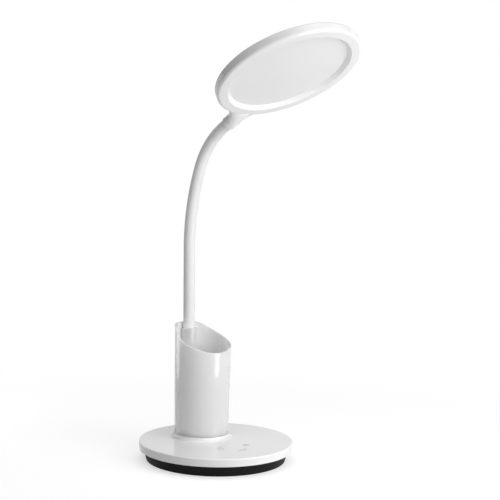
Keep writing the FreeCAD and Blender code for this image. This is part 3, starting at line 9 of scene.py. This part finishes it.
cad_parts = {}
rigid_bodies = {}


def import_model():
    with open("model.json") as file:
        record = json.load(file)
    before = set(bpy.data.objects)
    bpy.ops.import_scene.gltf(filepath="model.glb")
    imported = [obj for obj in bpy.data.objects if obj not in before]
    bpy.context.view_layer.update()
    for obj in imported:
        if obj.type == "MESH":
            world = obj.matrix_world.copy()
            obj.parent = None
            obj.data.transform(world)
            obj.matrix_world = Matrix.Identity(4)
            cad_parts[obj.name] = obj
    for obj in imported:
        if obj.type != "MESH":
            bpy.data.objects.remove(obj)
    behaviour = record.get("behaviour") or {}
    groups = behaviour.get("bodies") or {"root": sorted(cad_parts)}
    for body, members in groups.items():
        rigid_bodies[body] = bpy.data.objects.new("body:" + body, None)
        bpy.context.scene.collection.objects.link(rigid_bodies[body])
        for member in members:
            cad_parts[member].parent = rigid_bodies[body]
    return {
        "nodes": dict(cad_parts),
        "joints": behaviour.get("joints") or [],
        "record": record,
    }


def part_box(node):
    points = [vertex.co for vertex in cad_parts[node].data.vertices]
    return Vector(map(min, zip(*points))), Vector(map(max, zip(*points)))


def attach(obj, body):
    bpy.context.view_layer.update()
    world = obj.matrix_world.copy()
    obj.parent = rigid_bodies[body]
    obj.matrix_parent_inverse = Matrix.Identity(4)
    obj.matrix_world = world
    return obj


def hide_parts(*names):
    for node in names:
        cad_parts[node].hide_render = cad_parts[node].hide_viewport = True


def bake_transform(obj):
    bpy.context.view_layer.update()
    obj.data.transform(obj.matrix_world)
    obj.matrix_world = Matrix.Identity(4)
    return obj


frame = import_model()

bl_info = {
    "name": "Desk lamp looks",
    "version": (1, 0, 0),
    "blender": (4, 5, 0),
    "location": "3D View > Sidebar > Lamp",
    "description": "Sleeve, touch marks, finishes, camera and light for the desk lamp",
    "category": "Object",
}

# The neck is a chain of bodies from the base to the head, with a joint between each two.
JOINTS = [joint["pos_m"] for joint in frame["joints"]]
BODIES = [frame["joints"][0]["parent"]] + [joint["child"] for joint in frame["joints"]]

UP = Vector((0, 0, 1))
# Edges of the sleeve that turn more than this stay sharp.
SHARP_ANGLE = math.radians(45)


def length(name, description, default):
    return FloatProperty(name=name, description=description, default=default, unit="LENGTH")


def angle(name, description, degrees):
    return FloatProperty(name=name, description=description, default=math.radians(degrees),
                         subtype="ANGLE")


def lengths(name, description, *default):
    return FloatVectorProperty(name=name, description=description, default=default,
                               size=len(default), unit="LENGTH")


def colour(name, description, red, green, blue):
    return FloatVectorProperty(name=name, description=description, default=(red, green, blue),
                               subtype="COLOR", min=0, max=1)


class LampSleeve(bpy.types.PropertyGroup):
    """Sizes of the neck's sleeve."""

    radius: length("Radius", "Outer radius of the sleeve", 0.0062)
    bore: length("Bore", "Inner radius of the sleeve", 0.0042)
    foot: length("Foot", "Length of the sleeve below the first joint", 0.0383)
    in_head: length("In the head", "Straight end of the sleeve at the head", 0.0174)
    head_tilt: angle("Head tilt", "How far the head rises to its tip", 29.8)
    straight_below: angle("Straight below", "Turn under which a length of the neck is straight",
                          0.1)
    ring_step: length("Ring step", "Distance between two rings of the mesh", 0.0015)
    ring_points: IntProperty(name="Ring points", description="Points around the sleeve",
                             default=56)


class LampMarks(bpy.types.PropertyGroup):
    """Sizes of the touch marks and their places on the base cover, with the lamp's axis at 0."""

    height: length("Height", "Thickness of the ink above the cover", 0.00004)
    depth: length("Depth", "How far the ink reaches into the cover", 0.0002)
    power: lengths("Power mark", "Middle of the power ring", -0.0231, -0.0316)
    power_radius: length("Power radius", "Radius of the power ring", 0.0034)
    power_gap: angle("Power gap", "Opening of the power ring", 60)
    power_stroke: length("Power stroke", "Width of the ring and of its bar", 0.0007)
    power_bar: length("Power bar", "Length of the bar in the ring's opening", 0.0036)
    power_bar_out: length("Bar distance", "From the ring's middle to the bar's", 0.0026)
    sun: lengths("Sun mark", "Middle of the mark with rays", 0.0079, -0.0378)
    sun_radius: length("Sun radius", "Radius of the dot between the rays", 0.0017)
    ray_start: length("Ray start", "From the dot's middle to a ray", 0.0022)
    ray_end: length("Ray end", "From the dot's middle to the end of a ray", 0.0036)
    ray_width: length("Ray width", "Width of a ray", 0.0008)
    rays: IntProperty(name="Rays", description="Number of rays", default=8)
    dots: lengths("Dots mark", "Middle of the three dots", -0.0098, -0.0507)
    dot_places: lengths("Dot places", "Places of the dots along x, from the mark's middle",
                        -0.0038, 0, 0.0040)
    dot_radii: lengths("Dot radii", "Radii of the dots", 0.0012, 0.0014, 0.0017)


class LampColours(bpy.types.PropertyGroup):
    """Colours of the finishes that show."""

    shell: colour("Shell", "Glossy shells of the base and the head", 0.88, 0.88, 0.88)
    cup: colour("Cup", "Thin wall of the pen cup", 0.97, 0.97, 0.97)
    sleeve: colour("Sleeve", "Soft sleeve of the neck", 0.856, 0.856, 0.852)
    panel: colour("Diffuser", "Milky disc that the light comes through", 0.86, 0.86, 0.86)
    tray: colour("Tray", "Lower housing of the base", 0.012, 0.012, 0.012)
    ink: colour("Ink", "Touch marks", 0.3, 0.3, 0.3)


class LampCamera(bpy.types.PropertyGroup):
    """Place and lens of the camera."""

    height: length("Height", "Height of the camera above the desk", 0.2975)
    distance: length("Distance", "Distance of the camera from the lamp's axis", 1.150)
    azimuth: angle("Azimuth", "Turn of the camera from the front", -43.11)
    pitch: angle("Pitch", "How far the camera looks down", 3.63)
    yaw: angle("Yaw", "How far the camera looks past the lamp's axis", 1.59)
    roll: angle("Roll", "How far the picture is turned clockwise", 1.28)
    lens: FloatProperty(name="Lens", description="Focal length in millimetres", default=78.31)
    sensor: FloatProperty(name="Sensor", description="Width of the sensor in millimetres",
                          default=36.0)
    picture: IntProperty(name="Picture", description="Width and height of the picture in pixels",
                         default=500)


GROUPS = {"lamp_sleeve": LampSleeve, "lamp_marks": LampMarks, "lamp_colours": LampColours,
          "lamp_camera": LampCamera}


def new_object(name, mesh_data, smooth):
    """An object in the scene from a bmesh, with its faces outwards."""
    bmesh.ops.recalc_face_normals(mesh_data, faces=mesh_data.faces)
    for face in mesh_data.faces:
        face.smooth = smooth
    mesh = bpy.data.meshes.new(name)
    mesh_data.to_mesh(mesh)
    mesh_data.free()
    item = bpy.data.objects.new(name, mesh)
    bpy.context.scene.collection.objects.link(item)
    return item


def of_kind(geometry, kind):
    return [element for element in geometry if isinstance(element, kind)]


def neck_path(sleeve):
    """The first joint's y, z and lean, then each length of the neck's middle line with its
    radius, or 0 where it is straight. Arcs from joint to joint run into each other."""
    y, z = JOINTS[0][1:]
    lean = math.atan2(y - JOINTS[1][1], JOINTS[1][2] - z)
    start = (y, z, lean)
    steps = []
    for here, there in zip(JOINTS, JOINTS[1:]):
        chord = math.hypot(there[1] - here[1], there[2] - here[2])
        turn = 2 * (math.atan2(here[1] - there[1], there[2] - here[2]) - lean)
        if abs(turn) < sleeve.straight_below:
            steps.append((chord, 0))
        else:
            along = chord * turn / 2 / math.sin(turn / 2)
            steps.append((along, along / turn))
            lean += turn
    radius = steps[-1][1]
    steps.append((radius * (math.pi / 2 - sleeve.head_tilt - lean), radius))
    steps.append((sleeve.in_head, 0))
    return start, steps


def neck_spot(path, along):
    """The y, z and lean of the neck's middle line this far from the first joint."""
    (y, z, lean), steps = path
    if along < 0:
        return y - along * math.sin(lean), z + along * math.cos(lean), lean
    for step, radius in steps:
        part = min(step, along)
        along -= part
        if radius:
            turn = part / radius
            side = radius * math.cos(turn) - radius
            rise = radius * math.sin(turn)
            y += side * math.cos(lean) - rise * math.sin(lean)
            z += side * math.sin(lean) + rise * math.cos(lean)
            lean += turn
        else:
            y -= part * math.sin(lean)
            z += part * math.cos(lean)
        if along <= 0:
            break
    return y, z, lean


def neck_place(path, along):
    """The matrix that puts a flat ring across the neck's middle line."""
    y, z, lean = neck_spot(path, along)
    return Matrix.Translation((0, y, z)) @ Matrix.Rotation(lean, 4, "X")


def sleeve_length(name, path, start, end, sleeve):
    """A closed length of sleeve with a bore: a flat ring, extruded along the neck."""
    steps = max(2, round((end - start) / sleeve.ring_step))
    places = [neck_place(path, start + (end - start) * number / steps)
              for number in range(steps + 1)]
    mesh_data = bmesh.new()
    bmesh.ops.create_circle(mesh_data, segments=sleeve.ring_points, radius=sleeve.radius)
    inward = bmesh.ops.extrude_edge_only(mesh_data, edges=mesh_data.edges)["geom"]
    bmesh.ops.transform(mesh_data, matrix=Matrix.Scale(sleeve.bore / sleeve.radius, 4),
                        verts=of_kind(inward, bmesh.types.BMVert))
    bmesh.ops.transform(mesh_data, matrix=places[0], verts=mesh_data.verts)
    ring = mesh_data.verts[:] + mesh_data.edges[:] + mesh_data.faces[:]
    for number, (here, there) in enumerate(zip(places, places[1:])):
        ring = bmesh.ops.extrude_face_region(mesh_data, geom=ring,
                                             use_keep_orig=number == 0)["geom"]
        bmesh.ops.transform(mesh_data, matrix=there @ here.inverted(),
                            verts=of_kind(ring, bmesh.types.BMVert))
    for edge in mesh_data.edges:
        edge.smooth = edge.calc_face_angle() < SHARP_ANGLE
    return new_object(name, mesh_data, smooth=True)


# Noise of the finishes: scale, detail and roughness.
CLOUDS = (18.0, 3.0, 0.5)
WEAR = (60.0, 4.0, 0.6)
GRAIN = (900.0, 2.0, 0.5)
NOISE_LOW = 0.3
NOISE_HIGH = 0.7
BUMP_STRENGTH = 0.5

# Sockets of the colour mix, which has others of the same names for other types.
MIX_SHARE = 0
MIX_FIRST = 6
MIX_SECOND = 7
MIX_COLOUR = 2


def noise(tree, coordinates, scale, detail, rough):
    node = tree.nodes.new("ShaderNodeTexNoise")
    node.inputs["Scale"].default_value = scale
    node.inputs["Detail"].default_value = detail
    node.inputs["Roughness"].default_value = rough
    tree.links.new(coordinates, node.inputs["Vector"])
    return node.outputs["Fac"]


def spread(tree, value, low, high):
    """The noise's middle range spread over low to high."""
    node = tree.nodes.new("ShaderNodeMapRange")
    node.inputs["From Min"].default_value = NOISE_LOW
    node.inputs["From Max"].default_value = NOISE_HIGH
    node.inputs["To Min"].default_value = low
    node.inputs["To Max"].default_value = high
    tree.links.new(value, node.inputs["Value"])
    return node.outputs["Result"]


def finish(name, tint, rough, bump=0.00002, metallic=0.0, clouds=0.04, specular=0.5, milky=0.0):
    """A material with cloudy colour, a roughness that varies between two values and a fine
    grain. The bump is the grain's depth, and milky is how far light travels in the material."""
    material = bpy.data.materials.new(name)
    material.use_nodes = True
    tree = material.node_tree
    shader = tree.nodes["Principled BSDF"]
    coordinates = tree.nodes.new("ShaderNodeTexCoord").outputs["Object"]

    mix = tree.nodes.new("ShaderNodeMix")
    mix.data_type = "RGBA"
    mix.inputs[MIX_FIRST].default_value = [channel * (1 - clouds) for channel in tint] + [1]
    mix.inputs[MIX_SECOND].default_value = list(tint) + [1]
    tree.links.new(noise(tree, coordinates, *CLOUDS), mix.inputs[MIX_SHARE])
    tree.links.new(mix.outputs[MIX_COLOUR], shader.inputs["Base Color"])

    wear = spread(tree, noise(tree, coordinates, *WEAR), *rough)
    tree.links.new(wear, shader.inputs["Roughness"])

    bumps = tree.nodes.new("ShaderNodeBump")
    bumps.inputs["Strength"].default_value = BUMP_STRENGTH
    bumps.inputs["Distance"].default_value = bump
    tree.links.new(noise(tree, coordinates, *GRAIN), bumps.inputs["Height"])
    tree.links.new(bumps.outputs["Normal"], shader.inputs["Normal"])

    shader.inputs["Metallic"].default_value = metallic
    shader.inputs["Specular IOR Level"].default_value = specular
    if milky:
        shader.inputs["Subsurface Weight"].default_value = 1.0
        shader.inputs["Subsurface Radius"].default_value = (1.0, 1.0, 1.0)
        shader.inputs["Subsurface Scale"].default_value = milky
    return material


def milky_shell(colours):
    """Plastic of the pen cup, thin enough for light to pass into it."""
    return finish("milky_shell", colours.cup, (0.03, 0.06), bump=0.000003, milky=0.01)


def slot_finishes(colours):
    """One material for each slot of the record."""
    looks = {
        "white_shell": dict(tint=colours.shell, rough=(0.03, 0.06), bump=0.000003),
        "black_tray": dict(tint=colours.tray, rough=(0.5, 0.6), specular=0.08),
        "black_rubber": dict(tint=(0.02, 0.02, 0.02), rough=(0.6, 0.8), bump=0.00006),
        "grey_iron": dict(tint=(0.2, 0.2, 0.2), rough=(0.4, 0.6)),
        "zinc_steel": dict(tint=(0.6, 0.6, 0.6), rough=(0.25, 0.4), metallic=1.0),
        "nickel_steel": dict(tint=(0.7, 0.69, 0.66), rough=(0.15, 0.3), metallic=1.0),
        "circuit_board": dict(tint=(0.03, 0.16, 0.07), rough=(0.3, 0.4)),
        "copper": dict(tint=(0.7, 0.4, 0.2), rough=(0.2, 0.35), metallic=1.0),
        "wire_cover": dict(tint=(0.5, 0.04, 0.03), rough=(0.4, 0.5)),
        "white_sleeve": dict(tint=colours.sleeve, rough=(0.8, 0.9), bump=0.000005),
        "neck_steel": dict(tint=(0.45, 0.45, 0.45), rough=(0.3, 0.4), metallic=1.0),
        "opal_panel": dict(tint=colours.panel, rough=(0.4, 0.5), bump=0.00001),
        "clear_panel": dict(tint=(0.9, 0.9, 0.9), rough=(0.1, 0.2)),
        "reflector": dict(tint=(0.9, 0.9, 0.9), rough=(0.3, 0.4)),
        "light_chip": dict(tint=(0.85, 0.75, 0.3), rough=(0.4, 0.5)),
    }
    return {slot: finish(slot, **look) for slot, look in looks.items()}


class LAMP_OT_finishes(bpy.types.Operator):
    """Give every frame node the material of its slot, and the thin cup a milkier one"""

    bl_idname = "lamp.finishes"
    bl_label = "Finishes"

    def execute(self, context):
        colours = context.scene.lamp_colours
        made = slot_finishes(colours)
        slots = {part["node"]: part["material_slot"] for part in frame["record"]["subparts"]}
        chosen = {name: made[slots[name]] for name in frame["nodes"]}
        chosen["pen_cup"] = milky_shell(colours)
        for name, item in frame["nodes"].items():
            item.data.materials.clear()
            item.data.materials.append(chosen[name])
        return {"FINISHED"}


class LAMP_OT_sleeve(bpy.types.Operator):
    """Make the neck's sleeve in lengths curved over the joints; only the two end lengths ride the
    bodies
    """

    bl_idname = "lamp.sleeve"
    bl_label = "Neck sleeve"

    def execute(self, context):
        sleeve = context.scene.lamp_sleeve
        # The sleeve has the finish of the CAD lengths that it replaces.
        material = frame["nodes"]["neck_sleeve_1"].data.materials[0]
        path = neck_path(sleeve)
        steps = [step for step, radius in path[1]]
        at_joints = [sum(steps[:number]) for number in range(len(JOINTS))]
        half = steps[0] / 2
        cuts = [-sleeve.foot] + [along - half for along in at_joints] \
            + [at_joints[-1] + half, sum(steps)]
        for number, (start, end) in enumerate(zip(cuts, cuts[1:])):
            item = sleeve_length("sleeve_%d" % number, path, start, end, sleeve)
            item.data.materials.append(material)
            if 0 < number <= len(JOINTS):
                low = neck_spot(path, start)
                high = neck_spot(path, end)
                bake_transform(item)
            else:
                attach(item, BODIES[0] if number == 0 else BODIES[-1])
            if number <= len(JOINTS):
                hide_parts("neck_sleeve_%d" % (number + 1))
        return {"FINISHED"}


ARC_STEPS = 40
DOT_POINTS = 24


def draw_dot(mesh_data, place, radius):
    bmesh.ops.create_circle(mesh_data, cap_ends=True, segments=DOT_POINTS, radius=radius,
                            matrix=place)


def draw_bar(mesh_data, place, wide, tall):
    stretch = Matrix.Diagonal((wide / 2, tall / 2, 1, 1))
    bmesh.ops.create_grid(mesh_data, x_segments=1, y_segments=1, size=1,
                          matrix=place @ stretch)


def draw_open_ring(mesh_data, place, radius, wide, gap):
    """A flat ring with its opening towards -y."""
    start = place @ Matrix.Rotation((gap - math.pi) / 2, 4, "Z")
    ends = [mesh_data.verts.new(start @ Vector((radius + side * wide / 2, 0, 0)))
            for side in (-1, 1)]
    edge = mesh_data.edges.new(ends)
    bmesh.ops.spin(mesh_data, geom=ends + [edge], cent=place.translation, axis=UP,
                   angle=2 * math.pi - gap, steps=ARC_STEPS, use_merge=False)


def draw_power(mesh_data, place, marks):
    draw_open_ring(mesh_data, place, marks.power_radius, marks.power_stroke, marks.power_gap)
    draw_bar(mesh_data, place @ Matrix.Translation((0, -marks.power_bar_out, 0)),
             marks.power_stroke, marks.power_bar)


def draw_sun(mesh_data, place, marks):
    draw_dot(mesh_data, place, marks.sun_radius)
    outward = Matrix.Translation((0, (marks.ray_start + marks.ray_end) / 2, 0))
    for number in range(marks.rays):
        turn = Matrix.Rotation(2 * math.pi * number / marks.rays, 4, "Z")
        draw_bar(mesh_data, place @ turn @ outward, marks.ray_width,
                 marks.ray_end - marks.ray_start)


def draw_dots(mesh_data, place, marks):
    for across, radius in zip(marks.dot_places, marks.dot_radii):
        draw_dot(mesh_data, place @ Matrix.Translation((across, 0, 0)), radius)


class LAMP_OT_marks(bpy.types.Operator):
    """Print the touch marks on the base cover"""

    bl_idname = "lamp.marks"
    bl_label = "Touch marks"

    def execute(self, context):
        marks = context.scene.lamp_marks
        ink = finish("mark_ink", context.scene.lamp_colours.ink, (0.3, 0.4))
        # The cup stands on the cover, so its lowest point is the cover's top.
        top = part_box("pen_cup")[0].z
        for name, middle, draw in (("mark_power", marks.power, draw_power),
                                   ("mark_first", marks.sun, draw_sun),
                                   ("mark_second", marks.dots, draw_dots)):
            mesh_data = bmesh.new()
            draw(mesh_data, Matrix.Translation((middle[0], middle[1], top - marks.depth)), marks)
            lifted = bmesh.ops.extrude_face_region(mesh_data, geom=mesh_data.faces[:],
                                                   use_keep_orig=True)["geom"]
            bmesh.ops.translate(mesh_data, verts=of_kind(lifted, bmesh.types.BMVert),
                                vec=UP * (marks.depth + marks.height))
            item = new_object(name, mesh_data, smooth=False)
            item.data.materials.append(ink)
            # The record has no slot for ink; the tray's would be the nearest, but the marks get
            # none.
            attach(item, "base")
        return {"FINISHED"}


# Soft boxes of the studio: middle and half width in degrees as the camera sees them, 0 behind
# the lamp and 90 at its right, then the lowest and highest degrees above the desk, and strength.
SOFT_BOXES = [
    ("behind the lamp", 0, 40, -10, 25, 0.8),
    ("in front at the right", 148, 26, -10, 32, 1.6),
    ("behind the camera", 188, 38, -10, 25, 0.75),
    ("ceiling", 0, 181, 55, 91, 1.6),
]
# Width of a soft box's blurred edge.
EDGE = math.radians(6)
# Upright panels near the lamp: the same degrees, then the distance, the low and the high edge
# and the width in metres, and the power in watts.
PANELS = [
    ("panel_right", 125, 0.50, 0.16, 0.60, 0.36, 1.25),
    ("panel_low", 118, 0.43, 0.002, 0.16, 0.17, 0.45),
    ("panel_left", 298, 0.46, 0.002, 0.13, 0.18, 0.15),
]
# The paper's half width, its squares a side, its grey, the light added to it where the shadow
# lies, and the distances from the lamp's axis between which it turns plain white.
FLOOR_HALF = 12.0
FLOOR_SQUARES = 8
FLOOR_GREY = 0.5
FLOOR_LIFT = 0.6
FLOOR_WHITE_FROM = 0.15
FLOOR_WHITE_AT = 0.6


def maths(tree, operation, first, second=None, clamped=False):
    """The output of a maths node whose inputs are sockets or plain numbers."""
    node = tree.nodes.new("ShaderNodeMath")
    node.operation = operation
    node.use_clamp = clamped
    for number, value in enumerate((first, second)):
        if isinstance(value, bpy.types.NodeSocket):
            tree.links.new(value, node.inputs[number])
        elif value is not None:
            node.inputs[number].default_value = value
    return node.outputs[0]


def dot_product(tree, socket, direction):
    node = tree.nodes.new("ShaderNodeVectorMath")
    node.operation = "DOT_PRODUCT"
    tree.links.new(socket, node.inputs[0])
    node.inputs[1].default_value = direction
    return node.outputs["Value"]


def mixed(tree, share, first, second):
    """The first shader where the share is 0 and the second where it is 1."""
    mix = tree.nodes.new("ShaderNodeMixShader")
    tree.links.new(share, mix.inputs[0])
    tree.links.new(first, mix.inputs[1])
    tree.links.new(second, mix.inputs[2])
    return mix.outputs[0]


def seen_by_camera(tree, for_camera, for_light, in_gloss=False):
    """A shader that the camera, and gloss if asked, sees as the first, and light as the second."""
    path = tree.nodes.new("ShaderNodeLightPath")
    seen = path.outputs["Is Camera Ray"]
    if in_gloss:
        seen = maths(tree, "ADD", seen, path.outputs["Is Glossy Ray"], clamped=True)
    return mixed(tree, seen, for_light, for_camera)


def smooth_rise(tree, value, start, end):
    """A share that goes from 0 at the start to 1 at the end."""
    node = tree.nodes.new("ShaderNodeMapRange")
    node.interpolation_type = "SMOOTHSTEP"
    node.inputs["From Min"].default_value = start
    node.inputs["From Max"].default_value = end
    tree.links.new(value, node.inputs["Value"])
    return node.outputs["Result"]


def window(tree, turn, low, high):
    """A share that is 1 between two angles, with soft edges."""
    half = EDGE / 2
    above = smooth_rise(tree, turn, low - half, low + half)
    below = smooth_rise(tree, turn, high + half, high - half)
    return maths(tree, "MULTIPLY", above, below)


def studio(azimuth):
    """A dark room with soft boxes, white to the camera."""
    world = bpy.data.worlds.new("studio")
    world.use_nodes = True
    tree = world.node_tree
    ray = tree.nodes.new("ShaderNodeTexCoord").outputs["Generated"]
    ahead = dot_product(tree, ray, (-math.sin(azimuth), math.cos(azimuth), 0))
    right = dot_product(tree, ray, (math.cos(azimuth), math.sin(azimuth), 0))
    turn = maths(tree, "ARCTAN2", right, ahead)
    rise = maths(tree, "ARCSINE", dot_product(tree, ray, UP))
    total = 0.0
    for label, middle, half, low, high, strength in SOFT_BOXES:
        away = maths(tree, "SUBTRACT", turn, math.radians(middle))
        apart = maths(tree, "ARCCOSINE", maths(tree, "COSINE", away))
        across = window(tree, apart, math.radians(-half), math.radians(half))
        upward = window(tree, rise, math.radians(low), math.radians(high))
        share = maths(tree, "MULTIPLY", maths(tree, "MULTIPLY", across, upward), strength)
        share.node.label = label
        total = maths(tree, "ADD", total, share)
    light = tree.nodes["Background"]
    tree.links.new(total, light.inputs["Strength"])
    light.inputs["Color"].default_value = (1, 1, 1, 1)
    white = tree.nodes.new("ShaderNodeBackground")
    white.inputs["Color"].default_value = (1, 1, 1, 1)
    shown = seen_by_camera(tree, white.outputs[0], light.outputs[0])
    tree.links.new(shown, tree.nodes["World Output"].inputs["Surface"])
    return world


def paper():
    """Grey paper that the camera and gloss see white, but for the lamp's shadow near it."""
    material = finish("floor_paper", [FLOOR_GREY] * 3, (0.8, 0.9), clouds=0.0, specular=0.0,
                      bump=0.0)
    tree = material.node_tree
    grey = tree.nodes["Principled BSDF"].outputs[0]
    distance = tree.nodes.new("ShaderNodeVectorMath")
    distance.operation = "LENGTH"
    tree.links.new(tree.nodes.new("ShaderNodeTexCoord").outputs["Object"], distance.inputs[0])
    far = smooth_rise(tree, distance.outputs["Value"], FLOOR_WHITE_FROM, FLOOR_WHITE_AT)
    lift = tree.nodes.new("ShaderNodeEmission")
    lift.inputs["Strength"].default_value = FLOOR_LIFT
    lifted = tree.nodes.new("ShaderNodeAddShader")
    tree.links.new(grey, lifted.inputs[0])
    tree.links.new(lift.outputs[0], lifted.inputs[1])
    white = tree.nodes.new("ShaderNodeEmission")
    faded = mixed(tree, far, lifted.outputs[0], white.outputs[0])
    shown = seen_by_camera(tree, faded, grey, in_gloss=True)
    tree.links.new(shown, tree.nodes["Material Output"].inputs["Surface"])
    # The paper sends no light of its own to the lamp, so no samples look for it.
    material.cycles.emission_sampling = "NONE"
    return material


def panel_light(name, azimuth, degrees, distance, low, high, wide, power):
    """An upright panel of light that faces the lamp from this side of the camera's view."""
    turn = azimuth + math.pi - math.radians(degrees)
    middle = Vector((math.sin(turn), -math.cos(turn), 0)) * distance
    toward = -middle
    middle.z = (low + high) / 2
    data = bpy.data.lights.new(name, "AREA")
    data.shape = "RECTANGLE"
    data.size = wide
    data.size_y = high - low
    data.energy = power
    item = bpy.data.objects.new(name, data)
    item.location = middle
    item.rotation_euler = toward.to_track_quat("-Z", "Y").to_euler()
    bpy.context.scene.collection.objects.link(item)
    return item


def photo_camera(view):
    """The camera, turned by its yaw, its pitch and its roll, in this order."""
    toward = Vector((math.sin(view.azimuth), -math.cos(view.azimuth), 0))
    across = Vector((math.cos(view.azimuth), math.sin(view.azimuth), 0))
    right = across * math.cos(view.yaw) + toward * math.sin(view.yaw)
    level = across * math.sin(view.yaw) - toward * math.cos(view.yaw)
    look = level * math.cos(view.pitch) - UP * math.sin(view.pitch)
    upright = UP * math.cos(view.pitch) + level * math.sin(view.pitch)
    side = right * math.cos(view.roll) + upright * math.sin(view.roll)
    top = upright * math.cos(view.roll) - right * math.sin(view.roll)
    data = bpy.data.cameras.new("camera")
    data.sensor_width = view.sensor
    data.lens = view.lens
    camera = bpy.data.objects.new("camera", data)
    turned = Matrix((side, top, -look)).transposed().to_4x4()
    camera.matrix_world = Matrix.Translation(toward * view.distance + UP * view.height) @ turned
    return camera


class LAMP_OT_stage(bpy.types.Operator):
    """Make the floor, the light and the camera"""

    bl_idname = "lamp.stage"
    bl_label = "Stage"

    def execute(self, context):
        scene = context.scene
        view = scene.lamp_camera
        mesh_data = bmesh.new()
        bmesh.ops.create_grid(mesh_data, x_segments=FLOOR_SQUARES, y_segments=FLOOR_SQUARES,
                              size=FLOOR_HALF)
        floor = new_object("floor", mesh_data, smooth=True)
        floor.data.materials.append(paper())

        scene.world = studio(view.azimuth)
        for name, degrees, distance, low, high, wide, power in PANELS:
            panel_light(name, view.azimuth, degrees, distance, low, high, wide, power)

        camera = photo_camera(view)
        scene.collection.objects.link(camera)
        scene.camera = camera
        scene.render.resolution_x = view.picture
        scene.render.resolution_y = view.picture
        scene.view_settings.view_transform = "Standard"
        return {"FINISHED"}


OPERATORS = (LAMP_OT_finishes, LAMP_OT_sleeve, LAMP_OT_marks, LAMP_OT_stage)


class LAMP_PT_panel(bpy.types.Panel):
    bl_label = "Desk lamp"
    bl_space_type = "VIEW_3D"
    bl_region_type = "UI"
    bl_category = "Lamp"

    def draw(self, context):
        for group, kind in GROUPS.items():
            for name in kind.__annotations__:
                self.layout.prop(getattr(context.scene, group), name)
        for operator in OPERATORS:
            self.layout.operator(operator.bl_idname)


CLASSES = (*GROUPS.values(), *OPERATORS, LAMP_PT_panel)


def register():
    for item in CLASSES:
        bpy.utils.register_class(item)
    for name, kind in GROUPS.items():
        setattr(bpy.types.Scene, name, PointerProperty(type=kind))


def unregister():
    for name in GROUPS:
        delattr(bpy.types.Scene, name)
    for item in reversed(CLASSES):
        bpy.utils.unregister_class(item)


def main():
    register()
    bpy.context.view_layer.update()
    bpy.ops.lamp.finishes()
    bpy.ops.lamp.sleeve()
    bpy.ops.lamp.marks()
    bpy.ops.lamp.stage()


if __name__ == "__main__":
    main()
